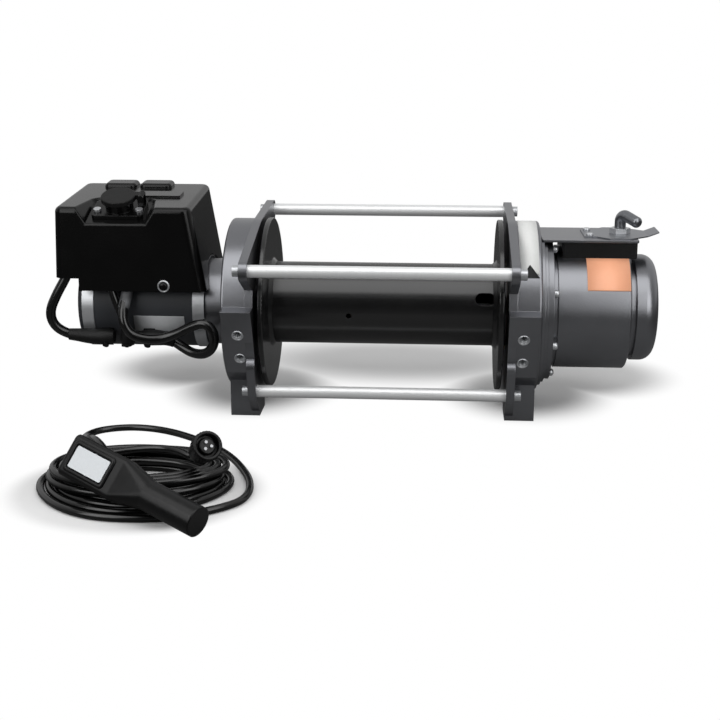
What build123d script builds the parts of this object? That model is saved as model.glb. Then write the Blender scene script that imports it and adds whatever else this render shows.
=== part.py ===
# Electric drum winch with a planetary gear end, a motor end with a control pack, and its corded remote.
# X runs along the drum towards the gear end, Y to the rear, Z up. The origin is the centre of the four
# foot bolts, on the plane that the feet stand on. All sizes are in millimetres.
import os
from math import acos, atan2, cos, degrees, pi, radians, sin, sqrt, tan

from build123d import *

os.makedirs("parts", exist_ok=True)

# Clearances
SEAT = 0.05
RUN = 0.05
FREE = 0.3
SIDE_PLAY = 0.4

# Drum
AXIS_HEIGHT = 132.0
DRUM_R = 51.0
DRUM_WALL = 9.0
DRUM_LENGTH = 279.0
FLANGE_R = 106.0
FLANGE_T = 6.5
FLANGE_EDGE = 1.5
WELD_LEG = 5.0
DRUM_GAP = 5.0
JOURNAL_LENGTH = 20.0
BUSH_WALL = 5.0
ROPE_HOLE_X = 125.0
ROPE_HOLE_LENGTH = 24.0
ROPE_HOLE_WIDTH = 15.0
ROPE_HOLE_ANGLE = 20.0
CLAMP_HOLE_X = -41.0
CLAMP_HOLE_R = 3.4
CLAMP_HOLE_ANGLE = -6.0

# Drum supports
PLATE_T = 10.0
PLATE_R = 107.0
EAR_R = 12.0
HOUSING_R = 105.0
HOUSING_LENGTH = 29.0
HOUSING_EDGE = 3.0
WALL_T = 14.0
WALL_BORE_R = 44.0
FOOT_WIDTH = 36.0
FOOT_FRONT = 60.0
LEG_TOP = -60.0
FOOT_GAP = 32.0
ARCH_HEIGHT = 14.0
FOOT_BOLT_SPACING = 76.0
FOOT_TAP_R = 5.1
FOOT_TAP_DEPTH = 24.0
PAD_TILT = 26.0
PAD_DISTANCE = 105.0
PAD_UP = 67.0
PAD_DOWN = 27.0
PAD_SHELF_RISE = 6.0
PAD_HOLE_FIRST = 32.0
PAD_HOLE_SPACING = 36.0
PAD_TAP_DEPTH = 20.0

# Tie rods, as (Y, Z) from the drum axis
ROD_R = 7.5
ROD_FRONT = (-132.5, 65.5)
ROD_REAR = (105.5, 101.5)
ROD_LOWER = (-78.5, -94.5)
ROD_SCREW_R = 4.0
ROD_SCREW_DEPTH = 22.0
ROD_HEAD_R = 6.5
ROD_HEAD_LENGTH = 8.0
ROD_SOCKET_ACROSS = 6.0
ROD_SOCKET_DEPTH = 4.0

# Gear train: every stage has the same tooth counts
MODULE = 2.0
SUN_TEETH = 12
PLANET_TEETH = 24
RING_TEETH = SUN_TEETH + 2 * PLANET_TEETH
ADDENDUM = 0.75
DEDENDUM = 1.25
PRESSURE_ANGLE = 20.0
BACKLASH = 0.6
GEAR_WIDTH = 13.0
OUTPUT_GEAR_WIDTH = 20.0
CARRIER_T = 5.0
CARRIER_R = 46.0
PLANET_PIN_R = 6.0
SHAFT_R = 5.0
RING_WALL = 5.5
RING_REST = 15.0

# Gear end casings
MOUNT_RING_T = 8.0
MOUNT_RING_R = 99.0
MOUNT_RING_STEP = 4.0
GEAR_FLANGE_T = 7.0
GEAR_FLANGE_R = 91.0
GEAR_SCREW_CIRCLE_R = 83.5
GEAR_SCREW_COUNT = 8
GEAR_SCREW_R = 3.0
GEAR_HEAD_R = 4.5
GEAR_HEAD_LENGTH = 6.5
GEAR_CASE_R = 76.0
GEAR_CASE_LENGTH = 99.3
GEAR_CASE_CHAMFER = 1.5
GEAR_GROOVE_WIDTH = 6.0
GEAR_GROOVE_DEPTH = 3.0
END_WALL_T = 2.5
CAP_NECK_R = 60.0
CAP_NECK_LENGTH = 7.7
CAP_R = 65.5
CAP_LENGTH = 27.0
CAP_ROUND = 16.0
CAP_WALL = 6.0
CAP_SPIGOT = 6.0

# Clutch
CLUTCH_FROM_FLANGE = 90.5
CLUTCH_PIN_R = 5.0
CLUTCH_PIN_NECK_R = 4.0
CLUTCH_PIN_SOCKET = 6.0
CLUTCH_LENGTH = 90.0
CLUTCH_MARGIN = 6.5
CLUTCH_WIDTH = 72.0
CLUTCH_TOP = 88.0
COVER_WIDTH = 92.0
COVER_OVERHANG = 24.5
COVER_T = 3.0
LEAF_T = 1.5
LEAF_BACK = 45.5
LEAF_ROOT_LENGTH = 15.0
LEAF_ROOT_WIDTH = 54.0
LEAF_FLARE_LENGTH = 14.0
LEAF_WIDE_LENGTH = 24.0
LEAF_WIDTH = 84.0
LEAF_TAPER_LENGTH = 24.0
LEAF_TIP_LENGTH = 13.0
LEAF_TIP_WIDTH = 40.0
LEAF_TIP_RISE = 5.0
LEAF_SCREW_BACK = 38.5
LEAF_SCREW_SPACING = 38.0
LEAF_SCREW_R = 2.5
LEAF_HEAD_R = 4.5
LEAF_HEAD_LENGTH = 3.0
LEAF_SCREW_DEPTH = 12.0
COLLAR_R = 9.0
COLLAR_ACROSS = 22.0
COLLAR_HEAD = 6.5
COLLAR_DEPTH = 10.0
HANDLE_R = 6.8
HANDLE_RISE = 18.0
HANDLE_REACH_X = 19.0
HANDLE_REACH_Y = 27.0
HANDLE_DROP = 9.0
HANDLE_BEND_R = 8.0
HANDLE_ROUND = 5.0

# Motor
MOTOR_R = 57.0
MOTOR_WALL = 5.0
MOTOR_LENGTH = 144.0
BRACKET_R = 54.0
BRACKET_LENGTH = 28.0
BRACKET_WALL = 12.0
BELL_LENGTH = 14.0
BELL_ROUND = 5.0
SPIGOT_LENGTH = 5.0
BAND_T = 1.2
BAND_WIDTH = 14.5
BAND_OVERLAP = 6.5
ARMATURE_R = 38.0
ARMATURE_INSET = 27.0
ARMATURE_SHAFT_R = 8.0
AIR_GAP = 0.8
POLE_COUNT = 4
POLE_ANGLE = 62.0
COMMUTATOR_R = 22.0
COMMUTATOR_LENGTH = 16.0
COMMUTATOR_GAP = 4.0
COMMUTATOR_END = 9.0
BRUSH_WIDTH = 10.0
BRUSH_LENGTH = 12.0
BEARING_R = 17.0
BEARING_WIDTH = 10.0
COUPLING_R = 13.0
COUPLING_LENGTH = 26.0
COUPLING_SOCKET = 18.0
BRAKE_HUB_R = 30.0
BRAKE_LENGTH = 80.0
BRAKE_GAP = 0.5
TERMINAL_ANGLE = 213.0
TERMINAL_BACK = (122.0, 96.0, 70.0)
TERMINAL_BLOCK = (14.0, 16.0, 14.0)
TERMINAL_STUD_R = 4.0
TERMINAL_STUD_LENGTH = 8.0

# Control pack: heights from the drum axis, and places along X back from the motor case's drive end
PACK_WALL = 3.0
PACK_TOP = 134.0
PACK_TOP_RISE = 11.0
PACK_SKIRT = 27.0
PACK_LEFT_SKIRT = 42.0
PACK_STEP_BACK = 149.0
PACK_LEFT_BACK = 175.5
PACK_RIGHT_BACK = 12.0
PACK_LEFT_FLARE = 4.0
PACK_RIGHT_FLARE = 18.0
PACK_DEPTH = 150.0
PACK_CORNER = 11.0
PACK_TOP_EDGE = 7.0
PACK_ARCH_GAP = 3.0
RECESS_X_BACK = 101.5
RECESS_Y = -45.0
RECESS_DROP = 14.0
RECESS_TILT = 20.0
RECESS_HALF_WIDTH = 36.0
RECESS_BACK = 28.0
RECESS_FLARE = 35.0
RECESS_CORNER = 10.0
RECESS_LIP = 3.0
BUMP_X_BACK = (122.0, 76.5)
BUMP_WIDTH = 41.0
BUMP_DEPTH = 30.0
BUMP_HEIGHT = 6.0
BUMP_REAR_INSET = 1.0
RAIL_X_BACK = 60.0
RAIL_Y = -2.0
RAIL_LENGTH = 52.0
RAIL_WIDTH = 28.0
RAIL_HEIGHT = 2.5
BASE_T = 3.0
BASE_LEFT_BACK = 148.0
BASE_RIGHT_BACK = 10.0
BASE_TAB_WIDTH = 44.0
SADDLE_WIDTH = 56.0
SADDLE_LENGTH = 22.0
SADDLE_X_BACK = (114.0, 44.0)
LEAD_SLOT_X_BACK = 104.0
LEAD_SLOT_LENGTH = 56.0
LEAD_SLOT_FRONT = 72.0
LEAD_SLOT_BACK = 48.0
CONTACTOR_X_BACK = (124.0, 81.0)
CONTACTOR_LENGTH = 38.0
CONTACTOR_DEPTH = 62.0
CONTACTOR_Y = 14.0
CONTACTOR_HEIGHT = 48.0
PACK_SCREW_X_BACK = 45.0
PACK_SCREW_Z = 34.0
PACK_SCREW_R = 2.5
PACK_HEAD_R = 4.5
PACK_HEAD_LENGTH = 3.0
PACK_SCREW_LENGTH = 8.0

# Remote socket on the pack
SOCKET_PLATE = (63.0, 41.0)
SOCKET_PLATE_T = 5.0
SOCKET_PLATE_CORNER = 6.0
SOCKET_R = 17.0
SOCKET_HEIGHT = 16.0
SOCKET_BORE_R = 13.0
SOCKET_BORE_DEPTH = 12.0
SOCKET_TAIL_R = 15.0
SOCKET_TAIL = 12.0
SOCKET_SCREW_SPACING = 51.0
SOCKET_SCREW_Y = -8.0
CAP_DISC_R = 21.0
CAP_DISC_T = 6.0
CAP_DISC_EDGE = 1.5
HINGE_X = 27.0
HINGE_Y = 5.0
HINGE_R = 3.5
HINGE_PIN_R = 1.5
KNUCKLE_LENGTH = 9.0
LUG_T = 3.0

# Handset, lying on the coil: end of its handle, middle of its head end, and roll towards the front
HANDLE_END = (-156.0, -437.5, 15.4)
HEAD_END = (-299.3, -355.3, 49.9)
HANDSET_ROLL = 55.0
GRIP_R = 15.5
GRIP_LENGTH = 64.0
NECK_LENGTH = 36.0
HEAD_WIDTH = 45.0
HEAD_T = 25.0
HEAD_CORNER = 6.0
HEAD_EDGE = 3.0
ROCKER_LENGTH = 44.5
ROCKER_WIDTH = 23.3
ROCKER_T = 6.0
ROCKER_PROUD = 1.2
ROCKER_GAP = 0.8
ROCKER_FROM_END = 33.0
ROCKER_DEPTH = 9.0
ROCKER_PIN_R = 1.5
ROCKER_PIN_LENGTH = 2.5
GLAND_FROM_END = 15.0
GLAND_LENGTH = 14.0
GLAND_BASE_R = 9.0
GLAND_TIP_R = 5.5

# Remote cord, coil and plug
CORD_D = 8.0
COIL_CENTRE = (-246.0, -305.0)
COIL_HALF_X = 106.0
COIL_HALF_Y = 76.0
COIL_PITCH = 9.3
COIL_LAYER = 8.7
COIL_FIRST_TURNS = 4.25
COIL_SECOND_TURNS = 3.25
COIL_THIRD_TURNS = 3.0
COIL_CLIMB_TURNS = 0.5
COIL_TAIL_CLIMB = 0.15
COIL_LEAN = 10.0
COIL_LEAN_ANGLE = -50.0
COIL_SPREAD = 25.0
COIL_START = -90.0
COIL_TAIL_HEIGHT = 30.1
COIL_TAIL_BEND_R = 30.0
PLUG_PLACE = (-181.3, -314.4)
PLUG_HEADING = -61.0
PLUG_TILT = 30.0
PLUG_BOOT_R = 6.0
PLUG_BOOT_LENGTH = 16.0
PLUG_BODY_R = 12.0
PLUG_BODY_LENGTH = 18.0
PLUG_RING_R = 15.0
PLUG_RING_LENGTH = 14.0
PLUG_FACE_R = 12.0
PLUG_FACE_DEPTH = 8.0
PLUG_INSERT_R = 8.3
PLUG_INSERT_DROP = 2.5
PLUG_PIN_R = 1.6
PLUG_PIN_CIRCLE_R = 4.0
PLUG_PIN_COUNT = 3
PLUG_PIN_LENGTH = 2.0

# Motor leads
LEAD_D = 12.0
SLEEVE_D = 9.0

# Places along X that follow from the sizes above
FLANGE_FACE = DRUM_LENGTH / 2
PLATE_INNER = FLANGE_FACE + FLANGE_T + DRUM_GAP
PLATE_OUTER = PLATE_INNER + PLATE_T
HOUSING_END = PLATE_OUTER + HOUSING_LENGTH
BUSH_END = HOUSING_END - WALL_T
JOURNAL_END = PLATE_INNER + JOURNAL_LENGTH
BUSH_R = DRUM_R + RUN + BUSH_WALL
DRUM_BORE_R = DRUM_R - DRUM_WALL
FOOT_BOLT_X = PLATE_INNER + FOOT_WIDTH / 2

SUN_PITCH_R = MODULE * SUN_TEETH / 2
PLANET_PITCH_R = MODULE * PLANET_TEETH / 2
RING_PITCH_R = MODULE * RING_TEETH / 2
PLANET_CIRCLE_R = SUN_PITCH_R + PLANET_PITCH_R
RING_ROOT_R = RING_PITCH_R + DEDENDUM * MODULE
RING_R = RING_ROOT_R + RING_WALL
GEAR_FLANGE_FACE = HOUSING_END + MOUNT_RING_T
GEAR_CASE_END = GEAR_FLANGE_FACE + GEAR_CASE_LENGTH
RING_START = GEAR_FLANGE_FACE + FREE
RING_END = GEAR_CASE_END - END_WALL_T
OUTPUT_PLATE = RING_START + RING_REST - CARRIER_T
STAGE_3 = OUTPUT_PLATE + CARRIER_T + SIDE_PLAY
CARRIER_2 = STAGE_3 + OUTPUT_GEAR_WIDTH + SIDE_PLAY
STAGE_2 = CARRIER_2 + CARRIER_T + SIDE_PLAY
CARRIER_1 = STAGE_2 + GEAR_WIDTH + SIDE_PLAY
STAGE_1 = CARRIER_1 + CARRIER_T + SIDE_PLAY
SHAFT_END = STAGE_1 + GEAR_WIDTH + SIDE_PLAY
CAP_END = GEAR_CASE_END + CAP_NECK_LENGTH + CAP_LENGTH

CASE_RIGHT = -(HOUSING_END + BRACKET_LENGTH)
CASE_LEFT = CASE_RIGHT - MOTOR_LENGTH
BELL_END = CASE_LEFT - BELL_LENGTH
CASE_BORE_R = MOTOR_R - MOTOR_WALL
ARMATURE_RIGHT = CASE_RIGHT - ARMATURE_INSET
ARMATURE_LENGTH = MOTOR_LENGTH - ARMATURE_INSET - COMMUTATOR_GAP - COMMUTATOR_LENGTH - COMMUTATOR_END
ARMATURE_LEFT = ARMATURE_RIGHT - ARMATURE_LENGTH
COMMUTATOR_RIGHT = ARMATURE_LEFT - COMMUTATOR_GAP
COMMUTATOR_LEFT = COMMUTATOR_RIGHT - COMMUTATOR_LENGTH
BRACKET_BEARING = -(HOUSING_END + BRACKET_WALL)
BELL_BEARING = CASE_LEFT - BELL_ROUND
COUPLING_END = -(HOUSING_END - WALL_T - FREE)
COUPLING_START = COUPLING_END - COUPLING_LENGTH
TERMINAL_X = [CASE_RIGHT - back for back in TERMINAL_BACK]

CLUTCH_X = GEAR_FLANGE_FACE + CLUTCH_FROM_FLANGE
CLUTCH_END = CLUTCH_X + COLLAR_ACROSS / 2 + CLUTCH_MARGIN
CLUTCH_START = CLUTCH_END - CLUTCH_LENGTH
LEAF_ROOT_X = CLUTCH_X - LEAF_BACK
LEAF_SCREW_X = CLUTCH_X - LEAF_SCREW_BACK
LEAF_WAIST_X = LEAF_ROOT_X + LEAF_ROOT_LENGTH
LEAF_WIDE_START_X = LEAF_WAIST_X + LEAF_FLARE_LENGTH
LEAF_WIDE_END_X = LEAF_WIDE_START_X + LEAF_WIDE_LENGTH
LEAF_NECK_X = LEAF_WIDE_END_X + LEAF_TAPER_LENGTH
LEAF_TIP_X = LEAF_NECK_X + LEAF_TIP_LENGTH
COVER_TOP = CLUTCH_TOP + COVER_T
LEAF_TOP = COVER_TOP + LEAF_T
COLLAR_TOP = LEAF_TOP + COLLAR_HEAD

PACK_FRONT = -PACK_DEPTH / 2
PACK_STEP_X = CASE_RIGHT - PACK_STEP_BACK
PACK_LEFT = CASE_RIGHT - PACK_LEFT_BACK
PACK_RIGHT = CASE_RIGHT - PACK_RIGHT_BACK
RECESS_X = CASE_RIGHT - RECESS_X_BACK
BUMP_X = [CASE_RIGHT - back for back in BUMP_X_BACK]
RAIL_X = CASE_RIGHT - RAIL_X_BACK
BASE_Z = MOTOR_R + BAND_T + FREE
BASE_LEFT = CASE_RIGHT - BASE_LEFT_BACK
BASE_RIGHT = CASE_RIGHT - BASE_RIGHT_BACK
SADDLE_X = [CASE_RIGHT - back for back in SADDLE_X_BACK]
LEAD_SLOT_X = CASE_RIGHT - LEAD_SLOT_X_BACK
CONTACTOR_X = [CASE_RIGHT - back for back in CONTACTOR_X_BACK]
PACK_SCREW_X = CASE_RIGHT - PACK_SCREW_X_BACK

DRUM_AXIS = Axis((0, 0, AXIS_HEIGHT), (1, 0, 0))
AXIAL = Plane((0, 0, AXIS_HEIGHT), x_dir=(1, 0, 0), z_dir=(0, -1, 0))


def keep(builder, name):
    """Label a finished piece and write it out."""
    builder.part.label = name
    export_step(builder.part, f"parts/{name}.step")


def across(x):
    """Plane square to the drum axis: its x is Y and its y is the height above the axis."""
    return Plane((x, 0, AXIS_HEIGHT), x_dir=(0, 1, 0), z_dir=(1, 0, 0))


def level(z):
    """Horizontal plane at a height above the drum axis."""
    return Plane.XY.offset(AXIS_HEIGHT + z)


def tube(x0, x1, r_out, r_in=0, centre=(0, 0), mode=Mode.ADD):
    """Round bar or tube along X, on the drum axis unless a centre is given."""
    with BuildSketch(across(x0), mode=Mode.PRIVATE) as section:
        with Locations(centre):
            Circle(r_out)
            if r_in:
                Circle(r_in, mode=Mode.SUBTRACT)
    extrude(section.sketch, amount=x1 - x0, mode=mode)


def post(plane, x, y, z0, z1, r, mode=Mode.ADD):
    """Round bar square to a plane, from z0 to z1 above it."""
    with BuildSketch(plane.offset(z0), mode=Mode.PRIVATE) as section:
        with Locations((x, y)):
            Circle(r)
    extrude(section.sketch, amount=z1 - z0, mode=mode)


def profile(points):
    """Half section of a turned piece, as (X, radius) points."""
    with BuildSketch(AXIAL, mode=Mode.PRIVATE) as section:
        with BuildLine():
            Polyline(*points, close=True)
        make_face()
    return section.sketch


def polar(radius, angle):
    """Point at a radius and an angle in degrees."""
    return (radius * cos(radians(angle)), radius * sin(radians(angle)))


# Drum supports
PAD_NORMAL = (-cos(radians(PAD_TILT)), -sin(radians(PAD_TILT)))
PAD_ALONG = (-sin(radians(PAD_TILT)), cos(radians(PAD_TILT)))


def pad_point(along):
    """Point on the slanted bolting pad, measured up it from where it touches the round housing."""
    return tuple(PAD_DISTANCE * n + along * t for n, t in zip(PAD_NORMAL, PAD_ALONG))


def pad_outline(x):
    """Block behind the slanted bolting pad."""
    top = pad_point(PAD_UP)
    low = pad_point(-PAD_DOWN)
    with BuildSketch(across(x), mode=Mode.PRIVATE) as pad:
        Polygon(top, low, (-FOOT_FRONT, low[1]), (-FOOT_FRONT, top[1] + PAD_SHELF_RISE), align=None)
    return pad.sketch


def leg_outline(x):
    """Leg from the round housing down to the feet, with the arch between them."""
    with BuildSketch(across(x), mode=Mode.PRIVATE) as leg:
        Polygon((-FOOT_FRONT, -AXIS_HEIGHT), (FOOT_FRONT, -AXIS_HEIGHT),
                (FOOT_FRONT, LEG_TOP), (-FOOT_FRONT, LEG_TOP), align=None)
        with Locations((0, -AXIS_HEIGHT)):
            Rectangle(FOOT_GAP, 2 * ARCH_HEIGHT, mode=Mode.SUBTRACT)
    return leg.sketch


def web(start, r_start, end, r_end, side):
    """Corners of the web between two round ends, out to their common tangent on one side."""
    run = (end[0] - start[0], end[1] - start[1])
    open_angle = acos((r_start - r_end) / sqrt(run[0] ** 2 + run[1] ** 2))
    lean = degrees(atan2(run[1], run[0]) + side * open_angle)
    first = polar(r_start, lean)
    last = polar(r_end, lean)
    return [start, (start[0] + first[0], start[1] + first[1]), (end[0] + last[0], end[1] + last[1]), end]


def plate_outline(x):
    """Plate with an ear for each tie rod and a toe down to the front foot."""
    toe = (-FOOT_FRONT + EAR_R, -AXIS_HEIGHT + EAR_R)
    heel = pad_point(EAR_R - PAD_DOWN)
    with BuildSketch(across(x), mode=Mode.PRIVATE) as plate:
        Circle(PLATE_R)
        with Locations(ROD_LOWER, heel):
            Circle(EAR_R)
        with Locations(toe):
            Rectangle(2 * EAR_R, 2 * EAR_R)
        Polygon(*web(ROD_LOWER, EAR_R, toe, EAR_R, -1), align=None)
        Polygon(*web(ROD_LOWER, EAR_R, heel, EAR_R, 1), align=None)
        Polygon(ROD_LOWER, toe, (toe[0], heel[1]), heel, align=None)
        for rod, side in ((ROD_FRONT, -1), (ROD_REAR, 1)):
            root = polar(PLATE_R - EAR_R, degrees(atan2(rod[1], rod[0])))
            SlotCenterPoint(((rod[0] + root[0]) / 2, (rod[1] + root[1]) / 2), rod, 2 * EAR_R)
            Polygon(*web((0, 0), PLATE_R, rod, EAR_R, side), align=None)
    return plate.sketch


def support(side):
    """Drum support at one end: side is 1 at the gear end and -1 at the motor end."""
    inner = side * PLATE_INNER
    with BuildPart() as body:
        tube(side * PLATE_OUTER, side * HOUSING_END, HOUSING_R)
        fillet(body.edges().sort_by(Axis.X)[-1 if side > 0 else 0], HOUSING_EDGE)
        extrude(plate_outline(inner), amount=side * PLATE_T)
        extrude(pad_outline(inner), amount=side * FOOT_WIDTH)
        extrude(leg_outline(inner), amount=side * FOOT_WIDTH)
        tube(inner, side * BUSH_END, BUSH_R + SEAT, mode=Mode.SUBTRACT)
        tube(inner, side * HOUSING_END, WALL_BORE_R, mode=Mode.SUBTRACT)
        for rod in (ROD_FRONT, ROD_REAR, ROD_LOWER):
            tube(inner, side * PLATE_OUTER, ROD_SCREW_R + SEAT, centre=rod, mode=Mode.SUBTRACT)
        for y in (-FOOT_BOLT_SPACING / 2, FOOT_BOLT_SPACING / 2):
            post(Plane.XY, side * FOOT_BOLT_X, y, 0, FOOT_TAP_DEPTH, FOOT_TAP_R, mode=Mode.SUBTRACT)
        for along in (PAD_HOLE_FIRST, PAD_HOLE_FIRST - PAD_HOLE_SPACING):
            y, z = pad_point(along)
            mouth = Plane((side * FOOT_BOLT_X, y, AXIS_HEIGHT + z), x_dir=(1, 0, 0), z_dir=(0, *PAD_NORMAL))
            post(mouth, 0, 0, -PAD_TAP_DEPTH, HOUSING_EDGE, FOOT_TAP_R, mode=Mode.SUBTRACT)
    return body


keep(support(-1), "motor_end_support")
keep(support(1), "gear_end_support")

# Tie rods, tapped at both ends
with BuildPart() as tie_rods:
    for rod in (ROD_FRONT, ROD_REAR, ROD_LOWER):
        tube(-PLATE_INNER, PLATE_INNER, ROD_R, centre=rod)
        for side in (-1, 1):
            start = side * PLATE_INNER
            depth = side * (ROD_SCREW_DEPTH + FREE)
            tube(start, start - depth, ROD_SCREW_R + SEAT, centre=rod, mode=Mode.SUBTRACT)
keep(tie_rods, "tie_rods")

with BuildPart() as tie_rod_screws:
    for rod in (ROD_FRONT, ROD_REAR, ROD_LOWER):
        for side in (-1, 1):
            seat = side * PLATE_OUTER
            top = seat + side * ROD_HEAD_LENGTH
            tube(seat, top, ROD_HEAD_R, centre=rod)
            tube(seat, side * (PLATE_INNER - ROD_SCREW_DEPTH), ROD_SCREW_R, centre=rod)
            with BuildSketch(across(top)):
                with Locations(rod):
                    RegularPolygon(ROD_SOCKET_ACROSS / 2, 6, major_radius=False)
            extrude(amount=-side * ROD_SOCKET_DEPTH, mode=Mode.SUBTRACT)
keep(tie_rod_screws, "tie_rod_screws")

# Drum barrel with its rope hole and rope clamp hole
with BuildPart() as drum_barrel:
    tube(-JOURNAL_END, JOURNAL_END, DRUM_R, DRUM_BORE_R)
    rope_way = Plane((ROPE_HOLE_X, 0, AXIS_HEIGHT), x_dir=(1, 0, 0),
                     z_dir=(0, *polar(1, 180 - ROPE_HOLE_ANGLE)))
    with BuildSketch(rope_way):
        SlotOverall(ROPE_HOLE_LENGTH, ROPE_HOLE_WIDTH)
    extrude(amount=2 * DRUM_R, mode=Mode.SUBTRACT)
    clamp_way = Plane((CLAMP_HOLE_X, 0, AXIS_HEIGHT), x_dir=(1, 0, 0),
                      z_dir=(0, *polar(1, 180 - CLAMP_HOLE_ANGLE)))
    post(clamp_way, 0, 0, 0, 2 * DRUM_R, CLAMP_HOLE_R, mode=Mode.SUBTRACT)
keep(drum_barrel, "drum_barrel")


def drum_flange(side):
    """Drum flange with its weld bead on the rope side."""
    face = side * FLANGE_FACE
    back = side * (FLANGE_FACE + FLANGE_T)
    foot = DRUM_R + SEAT
    points = [(face - side * WELD_LEG, foot), (face, foot + WELD_LEG), (face, FLANGE_R), (back, FLANGE_R)]
    with BuildPart() as body:
        revolve(profile(points + [(back, foot)]), axis=DRUM_AXIS)
        rim = body.edges().filter_by(GeomType.CIRCLE).filter_by(lambda edge: edge.radius > FLANGE_R - FREE)
        fillet(rim, FLANGE_EDGE)
    return body


keep(drum_flange(-1), "drum_flange_motor_end")
keep(drum_flange(1), "drum_flange_gear_end")

with BuildPart() as drum_bushes:
    for side in (-1, 1):
        tube(side * PLATE_INNER, side * BUSH_END, BUSH_R, DRUM_R + RUN)
keep(drum_bushes, "drum_bushes")

# Drive shaft with the socket that takes the motor shaft, and the load brake inside the drum
with BuildPart() as drive_shaft:
    tube(COUPLING_START, COUPLING_END, COUPLING_R)
    tube(COUPLING_END, SHAFT_END, SHAFT_R)
    tube(COUPLING_START, COUPLING_START + COUPLING_SOCKET, ARMATURE_SHAFT_R + SEAT, mode=Mode.SUBTRACT)
keep(drive_shaft, "drive_shaft")

with BuildPart() as brake_hub:
    tube(-BRAKE_LENGTH / 2, BRAKE_LENGTH / 2, BRAKE_HUB_R, SHAFT_R + SEAT)
keep(brake_hub, "brake_hub")

with BuildPart() as brake_liner:
    tube(-BRAKE_LENGTH / 2, BRAKE_LENGTH / 2, DRUM_BORE_R - SEAT, BRAKE_HUB_R + BRAKE_GAP)
keep(brake_liner, "brake_liner")

# Motor case, end bell and drive bracket
with BuildPart() as motor_case:
    tube(CASE_LEFT, CASE_RIGHT, MOTOR_R, CASE_BORE_R)
keep(motor_case, "motor_case")

with BuildPart() as motor_end_bell:
    tube(BELL_END, CASE_LEFT, MOTOR_R)
    fillet(motor_end_bell.edges().sort_by(Axis.X)[0], BELL_ROUND)
    tube(CASE_LEFT, CASE_LEFT + SPIGOT_LENGTH, CASE_BORE_R - SEAT, CASE_BORE_R - MOTOR_WALL)
    tube(BELL_BEARING, CASE_LEFT, CASE_BORE_R - MOTOR_WALL, mode=Mode.SUBTRACT)
    tube(BELL_BEARING, BELL_BEARING + BEARING_WIDTH, BEARING_R + MOTOR_WALL, BEARING_R + SEAT)
keep(motor_end_bell, "motor_end_bell")

with BuildPart() as motor_drive_bracket:
    tube(CASE_RIGHT, -HOUSING_END, BRACKET_R)
    tube(CASE_RIGHT - SPIGOT_LENGTH, CASE_RIGHT, CASE_BORE_R - SEAT)
    tube(CASE_RIGHT - SPIGOT_LENGTH, BRACKET_BEARING, CASE_BORE_R - MOTOR_WALL, mode=Mode.SUBTRACT)
    tube(BRACKET_BEARING - BEARING_WIDTH, BRACKET_BEARING, BEARING_R + MOTOR_WALL, BEARING_R + SEAT)
    tube(BRACKET_BEARING, -HOUSING_END, COUPLING_R + FREE, mode=Mode.SUBTRACT)
keep(motor_drive_bracket, "motor_drive_bracket")

with BuildPart() as motor_bands:
    for start in (CASE_LEFT + BAND_OVERLAP - BAND_WIDTH, CASE_RIGHT - BAND_WIDTH):
        tube(start, start + BAND_WIDTH, MOTOR_R + BAND_T, MOTOR_R + SEAT)
keep(motor_bands, "motor_bands")

# Motor insides
with BuildPart() as armature:
    tube(ARMATURE_LEFT, ARMATURE_RIGHT, ARMATURE_R)
    tube(BELL_BEARING + FREE, COUPLING_START + COUPLING_SOCKET - FREE, ARMATURE_SHAFT_R)
keep(armature, "armature")

with BuildPart() as commutator:
    tube(COMMUTATOR_LEFT, COMMUTATOR_RIGHT, COMMUTATOR_R, ARMATURE_SHAFT_R + SEAT)
keep(commutator, "commutator")

with BuildPart() as field_poles:
    for index in range(POLE_COUNT):
        middle = 45 + 360 * index / POLE_COUNT
        with BuildSketch(across(ARMATURE_LEFT)):
            with BuildLine():
                outer = CenterArc((0, 0), CASE_BORE_R - SEAT, middle - POLE_ANGLE / 2, POLE_ANGLE)
                inner = CenterArc((0, 0), ARMATURE_R + AIR_GAP, middle - POLE_ANGLE / 2, POLE_ANGLE)
                Line(outer @ 0, inner @ 0)
                Line(outer @ 1, inner @ 1)
            make_face()
    extrude(amount=ARMATURE_LENGTH)
keep(field_poles, "field_poles")

with BuildPart() as brush_holders:
    for index in range(POLE_COUNT):
        out = polar(1, 360 * index / POLE_COUNT)
        middle = (COMMUTATOR_LEFT + COMMUTATOR_RIGHT) / 2
        seat = Plane((middle, 0, AXIS_HEIGHT), x_dir=(1, 0, 0), z_dir=(0, *out))
        with BuildSketch(seat.offset(COMMUTATOR_R + FREE)):
            Rectangle(BRUSH_LENGTH, BRUSH_WIDTH)
        extrude(amount=CASE_BORE_R - COMMUTATOR_R - 3 * FREE)
keep(brush_holders, "brush_holders")

with BuildPart() as motor_bearings:
    for start in (BELL_BEARING + FREE, BRACKET_BEARING - BEARING_WIDTH):
        tube(start, start + BEARING_WIDTH - FREE, BEARING_R, ARMATURE_SHAFT_R + RUN)
keep(motor_bearings, "motor_bearings")


def terminal_plane(x):
    """Plane on the motor case at a terminal, facing outwards."""
    out = polar(1, TERMINAL_ANGLE)
    centre = (x, MOTOR_R * out[0], AXIS_HEIGHT + MOTOR_R * out[1])
    return Plane(centre, x_dir=(1, 0, 0), z_dir=(0, *out))


with BuildPart() as motor_terminals:
    for x in TERMINAL_X:
        with BuildSketch(terminal_plane(x).offset(SEAT)):
            Rectangle(TERMINAL_BLOCK[0], TERMINAL_BLOCK[1])
        extrude(amount=TERMINAL_BLOCK[2])
        stud = terminal_plane(x).offset(TERMINAL_BLOCK[2])
        post(stud, 0, 0, 0, TERMINAL_STUD_LENGTH, TERMINAL_STUD_R)
keep(motor_terminals, "motor_terminals")


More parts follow.
